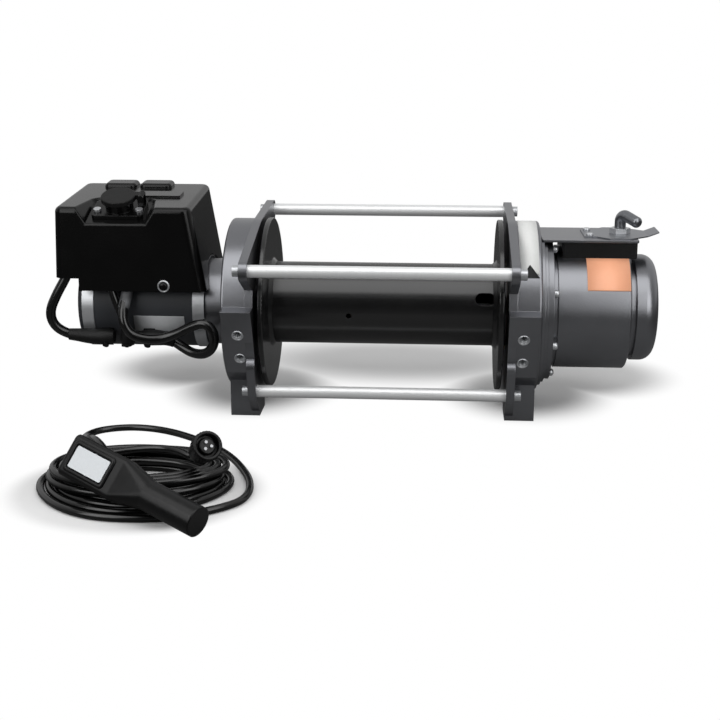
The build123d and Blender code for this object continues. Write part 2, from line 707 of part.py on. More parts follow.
# Gears
def tooth_ring(teeth, pitch_r, tip_r, root_r, phase):
    """Outline of a ring of straight-sided teeth, as points round it."""
    outward = 1 if tip_r > root_r else -1
    half = pi * pitch_r / (2 * teeth) - BACKLASH / 2
    lean = tan(radians(PRESSURE_ANGLE)) * outward
    at_root = degrees((half - (root_r - pitch_r) * lean) / root_r)
    at_tip = degrees((half - (tip_r - pitch_r) * lean) / tip_r)
    points = []
    for index in range(teeth):
        middle = phase + 360 * index / teeth
        points += [polar(root_r, middle - at_root), polar(tip_r, middle - at_tip)]
        points += [polar(tip_r, middle + at_tip), polar(root_r, middle + at_root)]
    return points


def spur(x, width, teeth, phase=0.0, bore_r=0.0, centre=(0, 0)):
    """Outside gear along X."""
    pitch_r = MODULE * teeth / 2
    points = tooth_ring(teeth, pitch_r, pitch_r + ADDENDUM * MODULE, pitch_r - DEDENDUM * MODULE, phase)
    with BuildSketch(across(x), mode=Mode.PRIVATE) as section:
        with Locations(centre):
            Polygon(*points, align=None)
            if bore_r:
                Circle(bore_r, mode=Mode.SUBTRACT)
    extrude(section.sketch, amount=width)


with BuildPart() as ring_gear:
    ring_teeth = tooth_ring(RING_TEETH, RING_PITCH_R, RING_PITCH_R - ADDENDUM * MODULE, RING_ROOT_R, 0.0)
    tube(RING_START, RING_END, RING_R, RING_ROOT_R + FREE)
    with BuildSketch(across(STAGE_3 - SIDE_PLAY)):
        Circle(RING_R)
        Polygon(*ring_teeth, align=None, mode=Mode.SUBTRACT)
    extrude(amount=SHAFT_END - STAGE_3)
    post(level(0), CLUTCH_X, 0, 0, 2 * RING_R, CLUTCH_PIN_R + FREE, mode=Mode.SUBTRACT)
keep(ring_gear, "ring_gear")

with BuildPart() as sun_gear_1:
    spur(STAGE_1, GEAR_WIDTH, SUN_TEETH, bore_r=SHAFT_R + SEAT)
keep(sun_gear_1, "sun_gear_1")


def carrier(plate_x, gear_width, sun_x=None):
    """Planet carrier with its pins and, where sun_x is given, the sun gear of the next stage."""
    with BuildPart() as body:
        tube(plate_x, plate_x + CARRIER_T, CARRIER_R)
        for index in range(3):
            pin = polar(PLANET_CIRCLE_R, 120 * index)
            pin_end = plate_x + CARRIER_T + SIDE_PLAY + gear_width
            tube(plate_x + CARRIER_T, pin_end, PLANET_PIN_R, centre=pin)
        if sun_x is not None:
            spur(sun_x, plate_x - sun_x, SUN_TEETH)
        else:
            tube(JOURNAL_END - JOURNAL_LENGTH, plate_x, DRUM_BORE_R - SEAT)
        tube(body.part.bounding_box().min.X, plate_x + CARRIER_T, SHAFT_R + RUN, mode=Mode.SUBTRACT)
    return body


keep(carrier(CARRIER_1, GEAR_WIDTH, STAGE_2), "carrier_1")
keep(carrier(CARRIER_2, GEAR_WIDTH, STAGE_3), "carrier_2")
keep(carrier(OUTPUT_PLATE, OUTPUT_GEAR_WIDTH), "output_carrier")

STAGES = ((1, STAGE_1, GEAR_WIDTH), (2, STAGE_2, GEAR_WIDTH), (3, STAGE_3, OUTPUT_GEAR_WIDTH))
for stage, start, width in STAGES:
    for index, letter in enumerate("abc"):
        with BuildPart() as planet_gear:
            spur(start, width, PLANET_TEETH, 180 / PLANET_TEETH, PLANET_PIN_R + RUN,
                 polar(PLANET_CIRCLE_R, 120 * index))
        keep(planet_gear, f"planet_{stage}{letter}")

# Gear end casings
GEAR_SCREWS = [polar(GEAR_SCREW_CIRCLE_R, 360 * (index + 0.5) / GEAR_SCREW_COUNT)
               for index in range(GEAR_SCREW_COUNT)]


def cover_seat():
    """Flat cut in a round casing under the clutch cover."""
    with BuildSketch(level(CLUTCH_TOP - FREE), mode=Mode.PRIVATE) as seat:
        with Locations((HOUSING_END, 0)):
            Rectangle(CLUTCH_LENGTH, COVER_WIDTH + 2 * FREE, align=(Align.MIN, Align.CENTER))
    extrude(seat.sketch, amount=MOUNT_RING_R, mode=Mode.SUBTRACT)


with BuildPart() as gear_mounting_ring:
    step = HOUSING_END + MOUNT_RING_T / 2
    step_r = MOUNT_RING_R - MOUNT_RING_STEP
    revolve(profile([(HOUSING_END, RING_R), (HOUSING_END, MOUNT_RING_R), (step, MOUNT_RING_R), (step, step_r),
                     (GEAR_FLANGE_FACE, step_r), (GEAR_FLANGE_FACE, RING_R)]), axis=DRUM_AXIS)
    for place in GEAR_SCREWS:
        tube(HOUSING_END, GEAR_FLANGE_FACE, GEAR_SCREW_R + SEAT, centre=place, mode=Mode.SUBTRACT)
    cover_seat()
keep(gear_mounting_ring, "gear_mounting_ring")

with BuildPart() as gear_housing:
    flange_back = GEAR_FLANGE_FACE + GEAR_FLANGE_T
    groove_end = flange_back + GEAR_GROOVE_WIDTH
    groove_r = GEAR_CASE_R - GEAR_GROOVE_DEPTH
    end_hole_r = CAP_NECK_R - FREE
    revolve(profile([(GEAR_FLANGE_FACE, RING_R + SEAT), (GEAR_FLANGE_FACE, GEAR_FLANGE_R),
                     (flange_back, GEAR_FLANGE_R), (flange_back, groove_r), (groove_end, groove_r),
                     (groove_end, GEAR_CASE_R), (GEAR_CASE_END - GEAR_CASE_CHAMFER, GEAR_CASE_R),
                     (GEAR_CASE_END, GEAR_CASE_R - GEAR_CASE_CHAMFER), (GEAR_CASE_END, end_hole_r),
                     (RING_END, end_hole_r), (RING_END, RING_R + SEAT)]), axis=DRUM_AXIS)
    for place in GEAR_SCREWS:
        tube(GEAR_FLANGE_FACE, flange_back, GEAR_SCREW_R + SEAT, centre=place, mode=Mode.SUBTRACT)
    post(level(0), CLUTCH_X, 0, 0, 2 * GEAR_CASE_R, CLUTCH_PIN_R + FREE, mode=Mode.SUBTRACT)
    cover_seat()
keep(gear_housing, "gear_housing")

with BuildPart() as gear_housing_screws:
    for place in GEAR_SCREWS:
        tube(HOUSING_END, flange_back, GEAR_SCREW_R, centre=place)
        tube(flange_back, flange_back + GEAR_HEAD_LENGTH, GEAR_HEAD_R, centre=place)
    tops = gear_housing_screws.faces().filter_by(Axis.X).sort_by(Axis.X)[-GEAR_SCREW_COUNT:]
    fillet(tops.edges(), GEAR_HEAD_LENGTH / 2)
keep(gear_housing_screws, "gear_housing_screws")

with BuildPart() as gear_end_cap:
    tube(GEAR_CASE_END - CAP_SPIGOT, GEAR_CASE_END, CAP_NECK_R - FREE - SEAT)
    tube(GEAR_CASE_END, GEAR_CASE_END + CAP_NECK_LENGTH, CAP_NECK_R)
    tube(GEAR_CASE_END + CAP_NECK_LENGTH, CAP_END, CAP_R)
    fillet(gear_end_cap.edges().sort_by(Axis.X)[-1], CAP_ROUND)
    tube(GEAR_CASE_END - CAP_SPIGOT, CAP_END - CAP_WALL, CAP_R - CAP_ROUND, mode=Mode.SUBTRACT)
keep(gear_end_cap, "gear_end_cap")

# Clutch: cast housing on the gear housing, cover plate, leaf spring, collar, locking pin and handle
with BuildPart() as clutch_housing:
    with BuildSketch(level(0)):
        with Locations(((CLUTCH_START + CLUTCH_END) / 2, 0)):
            RectangleRounded(CLUTCH_LENGTH, CLUTCH_WIDTH, HOUSING_EDGE)
    extrude(amount=CLUTCH_TOP)
    tube(CLUTCH_START - HOUSING_EDGE, CLUTCH_END + HOUSING_EDGE, GEAR_CASE_R + SEAT, mode=Mode.SUBTRACT)
    post(level(0), CLUTCH_X, 0, 0, CLUTCH_TOP, CLUTCH_PIN_R + RUN, mode=Mode.SUBTRACT)
    post(level(CLUTCH_TOP), CLUTCH_X, 0, -COLLAR_DEPTH - FREE, 0, COLLAR_R + SEAT, mode=Mode.SUBTRACT)
    for y in (-LEAF_SCREW_SPACING / 2, LEAF_SCREW_SPACING / 2):
        post(level(CLUTCH_TOP), LEAF_SCREW_X, y, -LEAF_SCREW_DEPTH - FREE, 0, LEAF_SCREW_R + SEAT,
             mode=Mode.SUBTRACT)
keep(clutch_housing, "clutch_housing")


def clutch_holes():
    """Holes for the two screws and the collar, through what lies on the clutch housing."""
    for y in (-LEAF_SCREW_SPACING / 2, LEAF_SCREW_SPACING / 2):
        post(level(CLUTCH_TOP), LEAF_SCREW_X, y, 0, LEAF_TOP, LEAF_SCREW_R + SEAT, mode=Mode.SUBTRACT)
    post(level(CLUTCH_TOP), CLUTCH_X, 0, 0, LEAF_TOP, COLLAR_R + SEAT, mode=Mode.SUBTRACT)


with BuildPart() as clutch_cover:
    with BuildSketch(level(CLUTCH_TOP)):
        with Locations(((CLUTCH_START - COVER_OVERHANG + CLUTCH_END) / 2, 0)):
            RectangleRounded(CLUTCH_LENGTH + COVER_OVERHANG, COVER_WIDTH, HOUSING_EDGE)
    extrude(amount=COVER_T)
    clutch_holes()
keep(clutch_cover, "clutch_cover")

with BuildPart() as leaf_spring:
    with BuildSketch(AXIAL):
        Polygon((LEAF_ROOT_X, COVER_TOP), (LEAF_NECK_X, COVER_TOP), (LEAF_TIP_X, COVER_TOP + LEAF_TIP_RISE),
                (LEAF_TIP_X, LEAF_TOP + LEAF_TIP_RISE), (LEAF_NECK_X, LEAF_TOP), (LEAF_ROOT_X, LEAF_TOP),
                align=None)
    extrude(amount=LEAF_WIDTH / 2, both=True)
    with BuildSketch(level(0)):
        Polygon((LEAF_ROOT_X, LEAF_ROOT_WIDTH / 2), (LEAF_WAIST_X, LEAF_ROOT_WIDTH / 2),
                (LEAF_WIDE_START_X, LEAF_WIDTH / 2), (LEAF_WIDE_END_X, LEAF_WIDTH / 2),
                (LEAF_NECK_X, LEAF_TIP_WIDTH / 2), (LEAF_TIP_X, LEAF_TIP_WIDTH / 2),
                (LEAF_TIP_X, -LEAF_TIP_WIDTH / 2), (LEAF_NECK_X, -LEAF_TIP_WIDTH / 2),
                (LEAF_WIDE_END_X, -LEAF_WIDTH / 2), (LEAF_WIDE_START_X, -LEAF_WIDTH / 2),
                (LEAF_WAIST_X, -LEAF_ROOT_WIDTH / 2), (LEAF_ROOT_X, -LEAF_ROOT_WIDTH / 2), align=None)
    extrude(amount=2 * LEAF_TOP, mode=Mode.INTERSECT)
    clutch_holes()
keep(leaf_spring, "leaf_spring")

with BuildPart() as clutch_screws:
    for y in (-LEAF_SCREW_SPACING / 2, LEAF_SCREW_SPACING / 2):
        post(level(LEAF_TOP), LEAF_SCREW_X, y, 0, LEAF_HEAD_LENGTH, LEAF_HEAD_R)
        post(level(CLUTCH_TOP), LEAF_SCREW_X, y, -LEAF_SCREW_DEPTH, LEAF_TOP - CLUTCH_TOP, LEAF_SCREW_R)
    fillet(clutch_screws.faces().filter_by(Axis.Z).sort_by(Axis.Z)[-2:].edges(), LEAF_HEAD_LENGTH / 2)
keep(clutch_screws, "clutch_screws")

with BuildPart() as clutch_collar:
    with BuildSketch(level(LEAF_TOP)):
        with Locations((CLUTCH_X, 0)):
            RegularPolygon(COLLAR_ACROSS / 2, 6, major_radius=False)
    extrude(amount=COLLAR_HEAD)
    post(level(CLUTCH_TOP), CLUTCH_X, 0, -COLLAR_DEPTH, LEAF_TOP - CLUTCH_TOP, COLLAR_R)
    post(level(0), CLUTCH_X, 0, 0, COLLAR_TOP, CLUTCH_PIN_R + RUN, mode=Mode.SUBTRACT)
keep(clutch_collar, "clutch_collar")

with BuildPart() as clutch_pin:
    post(level(0), CLUTCH_X, 0, RING_ROOT_R + FREE, COLLAR_TOP, CLUTCH_PIN_R)
    post(level(0), CLUTCH_X, 0, COLLAR_TOP, COLLAR_TOP + CLUTCH_PIN_SOCKET, CLUTCH_PIN_NECK_R)
keep(clutch_pin, "clutch_pin")

with BuildPart() as clutch_handle:
    foot_z = AXIS_HEIGHT + COLLAR_TOP + FREE
    knee_z = foot_z + HANDLE_RISE
    with BuildLine():
        stem = FilletPolyline((CLUTCH_X, 0, foot_z), (CLUTCH_X, 0, knee_z),
                              (CLUTCH_X + HANDLE_REACH_X, -HANDLE_REACH_Y, knee_z - HANDLE_DROP),
                              radius=HANDLE_BEND_R)
    with BuildSketch(Plane.XY.offset(foot_z)):
        with Locations((CLUTCH_X, 0)):
            Circle(HANDLE_R)
    sweep(path=stem)
    post(level(COLLAR_TOP), CLUTCH_X, 0, 0, CLUTCH_PIN_SOCKET + FREE, CLUTCH_PIN_NECK_R + RUN,
         mode=Mode.SUBTRACT)
    fillet(clutch_handle.faces().sort_by(Axis.Y)[0].edges(), HANDLE_ROUND)
keep(clutch_handle, "clutch_handle")

# Control pack cover: a moulded box over the motor, open below, with a sloped recess for the remote socket
RECESS = Plane((RECESS_X, RECESS_Y, AXIS_HEIGHT + PACK_TOP - RECESS_DROP), x_dir=(1, 0, 0),
               z_dir=(0, -sin(radians(RECESS_TILT)), cos(radians(RECESS_TILT))))
ROOF = Plane((0, 0, AXIS_HEIGHT + PACK_TOP), x_dir=(1, 0, 0), z_dir=(0, -PACK_TOP_RISE, PACK_DEPTH))


def pack_prism(inset, low):
    """The pack's block, drawn in by a wall all round and reaching down to a height above the axis."""
    left = PACK_LEFT + inset
    right = PACK_RIGHT - inset
    high = PACK_TOP + PACK_TOP_RISE
    flared = [(PACK_TOP - z) / (PACK_TOP - PACK_SKIRT) for z in (high, low)]
    with BuildSketch(AXIAL, mode=Mode.PRIVATE) as front:
        Polygon((left - PACK_LEFT_FLARE * flared[0], high), (right + PACK_RIGHT_FLARE * flared[0], high),
                (right + PACK_RIGHT_FLARE * flared[1], low), (left - PACK_LEFT_FLARE * flared[1], low),
                align=None)
    extrude(front.sketch, amount=PACK_DEPTH / 2 - inset, both=True)
    with BuildSketch(ROOF.offset(-inset), mode=Mode.PRIVATE) as above:
        with Locations((RECESS_X, 0)):
            Rectangle(2 * PACK_DEPTH, 2 * PACK_DEPTH)
    extrude(above.sketch, amount=PACK_DEPTH, mode=Mode.SUBTRACT)


def recess_block(extra, mode):
    """Sloped recess with flared sides, grown by a wall where extra is given."""
    length = 2 * (RECESS_HALF_WIDTH + extra)
    depth = RECESS_BACK + extra - PACK_FRONT
    with BuildSketch(RECESS.offset(-extra), mode=Mode.PRIVATE) as floor:
        with Locations((0, RECESS_BACK + extra - depth / 2)):
            RectangleRounded(length, depth, RECESS_CORNER)
    extrude(floor.sketch, amount=PACK_TOP - PACK_SKIRT, taper=-RECESS_FLARE, mode=mode)


def steep(edge):
    """True for the edges at the pack's four corners."""
    return abs(edge.tangent_at(0.5).Z) > 0.5


with BuildPart() as pack_cavity:
    pack_prism(PACK_WALL, PACK_SKIRT - PACK_WALL)
    fillet(pack_cavity.edges().filter_by(steep), PACK_CORNER - PACK_WALL)
    fillet(pack_cavity.faces().sort_by(Axis.Z)[-1].edges(), PACK_TOP_EDGE - PACK_WALL)
    recess_block(PACK_WALL, Mode.SUBTRACT)

with BuildPart() as pack_cover:
    pack_prism(0, PACK_SKIRT)
    fillet(pack_cover.edges().filter_by(steep), PACK_CORNER)
    fillet(pack_cover.faces().sort_by(Axis.Z)[-1].edges(), PACK_TOP_EDGE)
    recess_block(0, Mode.SUBTRACT)
    floor_z = AXIS_HEIGHT + PACK_TOP - RECESS_DROP
    lips = pack_cover.edges().filter_by_position(Axis.Y, PACK_FRONT - FREE, PACK_FRONT + FREE)
    fillet(lips.filter_by_position(Axis.Z, floor_z - RECESS_DROP, floor_z), RECESS_LIP)
    add(pack_cavity.part, mode=Mode.SUBTRACT)
    tube(PACK_LEFT - PACK_DEPTH, 0, MOTOR_R + PACK_ARCH_GAP, mode=Mode.SUBTRACT)
    with BuildSketch(AXIAL):
        Polygon((PACK_LEFT - PACK_DEPTH, 0), (PACK_STEP_X, 0), (PACK_STEP_X, PACK_LEFT_SKIRT),
                (PACK_LEFT - PACK_DEPTH, PACK_LEFT_SKIRT), align=None)
    extrude(amount=PACK_DEPTH, both=True, mode=Mode.SUBTRACT)
    with BuildSketch(ROOF.offset(-PACK_WALL / 2)):
        for x in BUMP_X:
            with Locations((x, -PACK_FRONT - PACK_TOP_EDGE - BUMP_REAR_INSET - BUMP_DEPTH / 2)):
                RectangleRounded(BUMP_WIDTH, BUMP_DEPTH, PACK_TOP_EDGE)
    extrude(amount=BUMP_HEIGHT + PACK_WALL / 2)
    fillet(pack_cover.faces().sort_by(Axis.Z)[-2:].edges(), BUMP_HEIGHT * 0.8)
    with BuildSketch(ROOF.offset(-PACK_WALL / 2)):
        with Locations((RAIL_X, RAIL_Y)):
            RectangleRounded(RAIL_LENGTH, RAIL_WIDTH, RAIL_HEIGHT)
    extrude(amount=RAIL_HEIGHT + PACK_WALL / 2)
    post(RECESS, 0, 0, -2 * PACK_WALL, PACK_WALL, SOCKET_TAIL_R + FREE, mode=Mode.SUBTRACT)
    for x in (-SOCKET_SCREW_SPACING / 2, SOCKET_SCREW_SPACING / 2):
        post(RECESS, x, SOCKET_SCREW_Y, -2 * PACK_WALL, PACK_WALL, PACK_SCREW_R + SEAT, mode=Mode.SUBTRACT)
    with BuildSketch(Plane.XZ):
        with Locations((PACK_SCREW_X, AXIS_HEIGHT + PACK_SCREW_Z)):
            Circle(PACK_SCREW_R + SEAT)
    extrude(amount=PACK_DEPTH, both=True, mode=Mode.SUBTRACT)
keep(pack_cover, "pack_cover")

# Pack base: a plate on two saddles over the motor, with a tab down each side for the cover screws
with BuildPart() as pack_base:
    tab_y = -PACK_FRONT - PACK_WALL - FREE
    with BuildSketch(level(BASE_Z)):
        Polygon((BASE_LEFT, -tab_y), (BASE_RIGHT, -tab_y), (BASE_RIGHT, tab_y), (BASE_LEFT, tab_y),
                align=None)
        with Locations((LEAD_SLOT_X, -(LEAD_SLOT_FRONT + LEAD_SLOT_BACK) / 2)):
            Rectangle(LEAD_SLOT_LENGTH, LEAD_SLOT_FRONT - LEAD_SLOT_BACK, mode=Mode.SUBTRACT)
    extrude(amount=BASE_T)
    for y in (-tab_y + BASE_T / 2, tab_y - BASE_T / 2):
        with BuildSketch(level(PACK_SKIRT)):
            with Locations((PACK_SCREW_X, y)):
                Rectangle(BASE_TAB_WIDTH, BASE_T)
        extrude(amount=BASE_Z - PACK_SKIRT + BASE_T)
    for x in SADDLE_X:
        with BuildSketch(level(0)):
            with Locations((x, 0)):
                Rectangle(SADDLE_LENGTH, SADDLE_WIDTH)
        extrude(amount=BASE_Z)
    tube(BASE_LEFT, BASE_RIGHT, MOTOR_R + SEAT, mode=Mode.SUBTRACT)
    with BuildSketch(Plane.XZ):
        with Locations((PACK_SCREW_X, AXIS_HEIGHT + PACK_SCREW_Z)):
            Circle(PACK_SCREW_R + SEAT)
    extrude(amount=PACK_DEPTH, both=True, mode=Mode.SUBTRACT)
keep(pack_base, "pack_base")

with BuildPart() as contactors:
    for x in CONTACTOR_X:
        with BuildSketch(level(BASE_Z + BASE_T)):
            with Locations((x, CONTACTOR_Y)):
                RectangleRounded(CONTACTOR_LENGTH, CONTACTOR_DEPTH, HOUSING_EDGE)
        extrude(amount=CONTACTOR_HEIGHT)
keep(contactors, "contactors")

# Remote socket in the recess, with its hinged cap
CAP_BASE = SOCKET_HEIGHT + FREE
HINGE_Z = CAP_BASE + CAP_DISC_T / 2
LUG_SPACING = KNUCKLE_LENGTH + LUG_T + 2 * FREE


def hinge_bar(length, r, y=HINGE_Y, mode=Mode.ADD):
    """Round bar along the hinge line of the socket cap, round a middle place along it."""
    start = RECESS.from_local_coords((HINGE_X, y - length / 2, HINGE_Z))
    line = Plane(start, x_dir=RECESS.x_dir, z_dir=RECESS.y_dir)
    with BuildSketch(line, mode=Mode.PRIVATE) as section:
        Circle(r)
    extrude(section.sketch, amount=length, mode=mode)


with BuildPart() as socket_body:
    with BuildSketch(RECESS):
        RectangleRounded(*SOCKET_PLATE, SOCKET_PLATE_CORNER)
    extrude(amount=SOCKET_PLATE_T)
    post(RECESS, 0, 0, 0, SOCKET_HEIGHT, SOCKET_R)
    post(RECESS, 0, 0, -SOCKET_TAIL, 0, SOCKET_TAIL_R)
    post(RECESS, 0, 0, SOCKET_HEIGHT - SOCKET_BORE_DEPTH, SOCKET_HEIGHT, SOCKET_BORE_R, mode=Mode.SUBTRACT)
    for x in (-SOCKET_SCREW_SPACING / 2, SOCKET_SCREW_SPACING / 2):
        post(RECESS, x, SOCKET_SCREW_Y, 0, SOCKET_PLATE_T, PACK_SCREW_R + SEAT, mode=Mode.SUBTRACT)
    for y in (HINGE_Y - LUG_SPACING / 2, HINGE_Y + LUG_SPACING / 2):
        with BuildSketch(RECESS.offset(SOCKET_PLATE_T)):
            with Locations((HINGE_X, y)):
                Rectangle(2 * HINGE_R, LUG_T)
        extrude(amount=HINGE_Z - SOCKET_PLATE_T)
        hinge_bar(LUG_T, HINGE_R, y)
    hinge_bar(LUG_SPACING, HINGE_PIN_R)
keep(socket_body, "socket_body")

with BuildPart() as socket_cap:
    post(RECESS, 0, 0, CAP_BASE, CAP_BASE + CAP_DISC_T, CAP_DISC_R)
    fillet(socket_cap.faces().sort_by(Axis.Z)[-1].edges(), CAP_DISC_EDGE)
    with BuildSketch(RECESS.offset(CAP_BASE + FREE)):
        with Locations(((SOCKET_R + HINGE_X) / 2, HINGE_Y)):
            Rectangle(HINGE_X - SOCKET_R, KNUCKLE_LENGTH)
    extrude(amount=CAP_DISC_T - 2 * FREE)
    hinge_bar(KNUCKLE_LENGTH, HINGE_R)
    hinge_bar(2 * KNUCKLE_LENGTH, HINGE_PIN_R + RUN, mode=Mode.SUBTRACT)
keep(socket_cap, "socket_cap")

with BuildPart() as pack_screws:
    for x in (-SOCKET_SCREW_SPACING / 2, SOCKET_SCREW_SPACING / 2):
        post(RECESS, x, SOCKET_SCREW_Y, SOCKET_PLATE_T, SOCKET_PLATE_T + PACK_HEAD_LENGTH, PACK_HEAD_R)
        post(RECESS, x, SOCKET_SCREW_Y, SOCKET_PLATE_T - PACK_SCREW_LENGTH, SOCKET_PLATE_T, PACK_SCREW_R)
    for side in (-1, 1):
        face = Plane((PACK_SCREW_X, side * PACK_DEPTH / 2, AXIS_HEIGHT + PACK_SCREW_Z), x_dir=(1, 0, 0),
                     z_dir=(0, side, 0))
        post(face, 0, 0, 0, PACK_HEAD_LENGTH, PACK_HEAD_R)
        post(face, 0, 0, -PACK_SCREW_LENGTH, 0, PACK_SCREW_R)
keep(pack_screws, "pack_screws")


# Cords
def cord_radii(points):
    """Largest bend radius that each inner point's two runs allow."""
    radii = []
    for before, here, after in zip(points, points[1:], points[2:]):
        turn = radians((here - before).get_angle(after - here))
        radii.append(0.45 * min((here - before).length, (after - here).length) / tan(turn / 2))
    return radii


def cord(name, points, diameter):
    """Tube along straight runs joined by tangent arcs, with its bend radii and volume printed."""
    radii = cord_radii(points)
    with BuildLine(mode=Mode.PRIVATE) as route:
        FilletPolyline(*points, radius=radii)
    path = route.wires()[0]
    with BuildSketch(Plane(points[0], z_dir=points[1] - points[0]), mode=Mode.PRIVATE) as section:
        Circle(diameter / 2)
    sweep(section.sketch, path=path)
    print(name, "radii", [round(r) for r in radii], "length", round(path.length, 1),
          "section volume", round(path.length * pi * diameter ** 2 / 4))


def lead_points(points):
    """Lead points given from the motor case's drive end and with heights above the drum axis."""
    return [Vector(CASE_RIGHT + x, y, AXIS_HEIGHT + z) for x, y, z in points]


def terminal_end(x, side_x, side_y, away):
    """Point out from the middle of a terminal block's side face, above the motor case and its bands."""
    height = BAND_T + FREE + LEAD_D / 2
    reach_x = side_x * (TERMINAL_BLOCK[0] / 2 + away)
    reach_y = side_y * (TERMINAL_BLOCK[1] / 2 + away)
    point = terminal_plane(x).from_local_coords((reach_x, reach_y, height))
    return (point.X - CASE_RIGHT, point.Y, point.Z - AXIS_HEIGHT)


# Motor leads, from the contactors down to the motor terminals; the last one has a slack loop by the support
CONTACTOR_FACE = CONTACTOR_Y - CONTACTOR_DEPTH / 2
LEFT_LEAD = [(-128, CONTACTOR_FACE, 84), (-128, -34, 84), (-141, -52, 81), (-158, -61, 65),
             (-167, -63.5, 42), (-180, -66, 20), (-190, -66, -2), (-186, -64, -20), (-170, -58, -32),
             terminal_end(TERMINAL_X[0], -1, 0, 20), terminal_end(TERMINAL_X[0], -1, 0, 0)]
SLEEVED_LEAD = [(-115, CONTACTOR_FACE, 78), (-115, -32, 78), (-115, -48, 73), (-115, -60, 60),
                (-114.5, -65, 42), (-111, -66, 24), (-104, -67.5, 5),
                terminal_end(TERMINAL_X[1], 0, 1, 18), terminal_end(TERMINAL_X[1], 0, 1, 0)]
RIGHT_LEAD = [(-87, CONTACTOR_FACE, 84), (-87, -33, 84), (-88, -51, 77), (-90, -61, 60), (-91, -63.5, 40),
              (-93, -64, 22), (-96, -77, 5), (-94, -83, -12), (-85, -82, -26), (-68, -78, -32),
              (-51, -75, -32), (-31, -75, -25), (-11, -78, -14), (5, -81, -9), (16, -82, -19),
              (16, -80, -37), (5, -75, -50), (-13, -67, -52), (-30, -60, -44),
              terminal_end(TERMINAL_X[2], 1, 0, 18), terminal_end(TERMINAL_X[2], 1, 0, 0)]

with BuildPart() as motor_leads:
    cord("left lead", lead_points(LEFT_LEAD), LEAD_D)
    cord("sleeved lead", lead_points(SLEEVED_LEAD), SLEEVE_D)
    cord("right lead", lead_points(RIGHT_LEAD), LEAD_D)
keep(motor_leads, "motor_leads")

# Handset: a round grip that swells into a flat head with a rocker in its face
grip_run = Vector(*HEAD_END) - Vector(*HANDLE_END)
grip_axis = grip_run.normalized()
HANDSET_LENGTH = grip_run.length
level_side = Vector(0, 0, 1).cross(grip_axis).normalized()
flat_face = grip_axis.cross(level_side).normalized()
face_normal = flat_face * cos(radians(HANDSET_ROLL)) + level_side * sin(radians(HANDSET_ROLL))
HANDSET = Plane(HANDLE_END, x_dir=grip_axis, z_dir=face_normal)
ROCKER_X = HANDSET_LENGTH - ROCKER_FROM_END
ROCKER_AXIS_Z = HEAD_T / 2 - ROCKER_T / 2


def handset_section(x):
    """Plane across the handset at a distance from the end of its grip; its y is the face's normal."""
    return Plane(HANDSET.from_local_coords((x, 0, 0)), x_dir=HANDSET.y_dir, z_dir=HANDSET.x_dir)


def rocker_pins(r, length, mode):
    """Round bar along the rocker's pivot, across the head."""
    line = Plane(HANDSET.from_local_coords((ROCKER_X, -length / 2, ROCKER_AXIS_Z)), x_dir=HANDSET.x_dir,
                 z_dir=HANDSET.y_dir)
    with BuildSketch(line, mode=Mode.PRIVATE) as section:
        Circle(r)
    extrude(section.sketch, amount=length, mode=mode)


with BuildPart() as handset_shell:
    with BuildSketch(handset_section(0)):
        Circle(GRIP_R)
    extrude(amount=GRIP_LENGTH)
    with BuildSketch(handset_section(GRIP_LENGTH)):
        RectangleRounded(2 * GRIP_R, 2 * GRIP_R, GRIP_R - SEAT)
    with BuildSketch(handset_section(GRIP_LENGTH + NECK_LENGTH)):
        RectangleRounded(HEAD_WIDTH, HEAD_T, HEAD_CORNER)
    loft(ruled=True)
    with BuildSketch(handset_section(GRIP_LENGTH + NECK_LENGTH)):
        RectangleRounded(HEAD_WIDTH, HEAD_T, HEAD_CORNER)
    extrude(amount=HANDSET_LENGTH - GRIP_LENGTH - NECK_LENGTH)
    end_face = handset_shell.faces().sort_by(Axis(HANDLE_END, grip_axis))[-1]
    fillet(end_face.edges(), HEAD_EDGE)
    with BuildSketch(HANDSET.offset(HEAD_T / 2)):
        with Locations((ROCKER_X, 0)):
            RectangleRounded(ROCKER_LENGTH + 2 * ROCKER_GAP, ROCKER_WIDTH + 2 * ROCKER_GAP, 2 * ROCKER_GAP)
    extrude(amount=-ROCKER_DEPTH, mode=Mode.SUBTRACT)
    rocker_pins(ROCKER_PIN_R + RUN, ROCKER_WIDTH + 2 * ROCKER_PIN_LENGTH + 2 * FREE, Mode.SUBTRACT)
keep(handset_shell, "handset_shell")

with BuildPart() as handset_rocker:
    with BuildSketch(HANDSET.offset(HEAD_T / 2 + ROCKER_PROUD)):
        with Locations((ROCKER_X, 0)):
            RectangleRounded(ROCKER_LENGTH, ROCKER_WIDTH, 2 * ROCKER_GAP)
    extrude(amount=-ROCKER_T)
    rocker_pins(ROCKER_PIN_R, ROCKER_WIDTH + 2 * ROCKER_PIN_LENGTH, Mode.ADD)
keep(handset_rocker, "handset_rocker")

GLAND = Plane(HANDSET.from_local_coords((HANDSET_LENGTH - GLAND_FROM_END, 0, -HEAD_T / 2)),
              x_dir=HANDSET.x_dir, z_dir=-HANDSET.z_dir)
with BuildPart() as handset_gland:
    with BuildSketch(GLAND):
        Circle(GLAND_BASE_R)
    with BuildSketch(GLAND.offset(GLAND_LENGTH)):
        Circle(GLAND_TIP_R)
    loft()
keep(handset_gland, "handset_gland")


# Remote cord: loose from the handset round behind the coil, then into the coil
def ramp(share):
    """Smooth climb from 0 to 1."""
    return (1 - cos(pi * min(max(share, 0), 1))) / 2


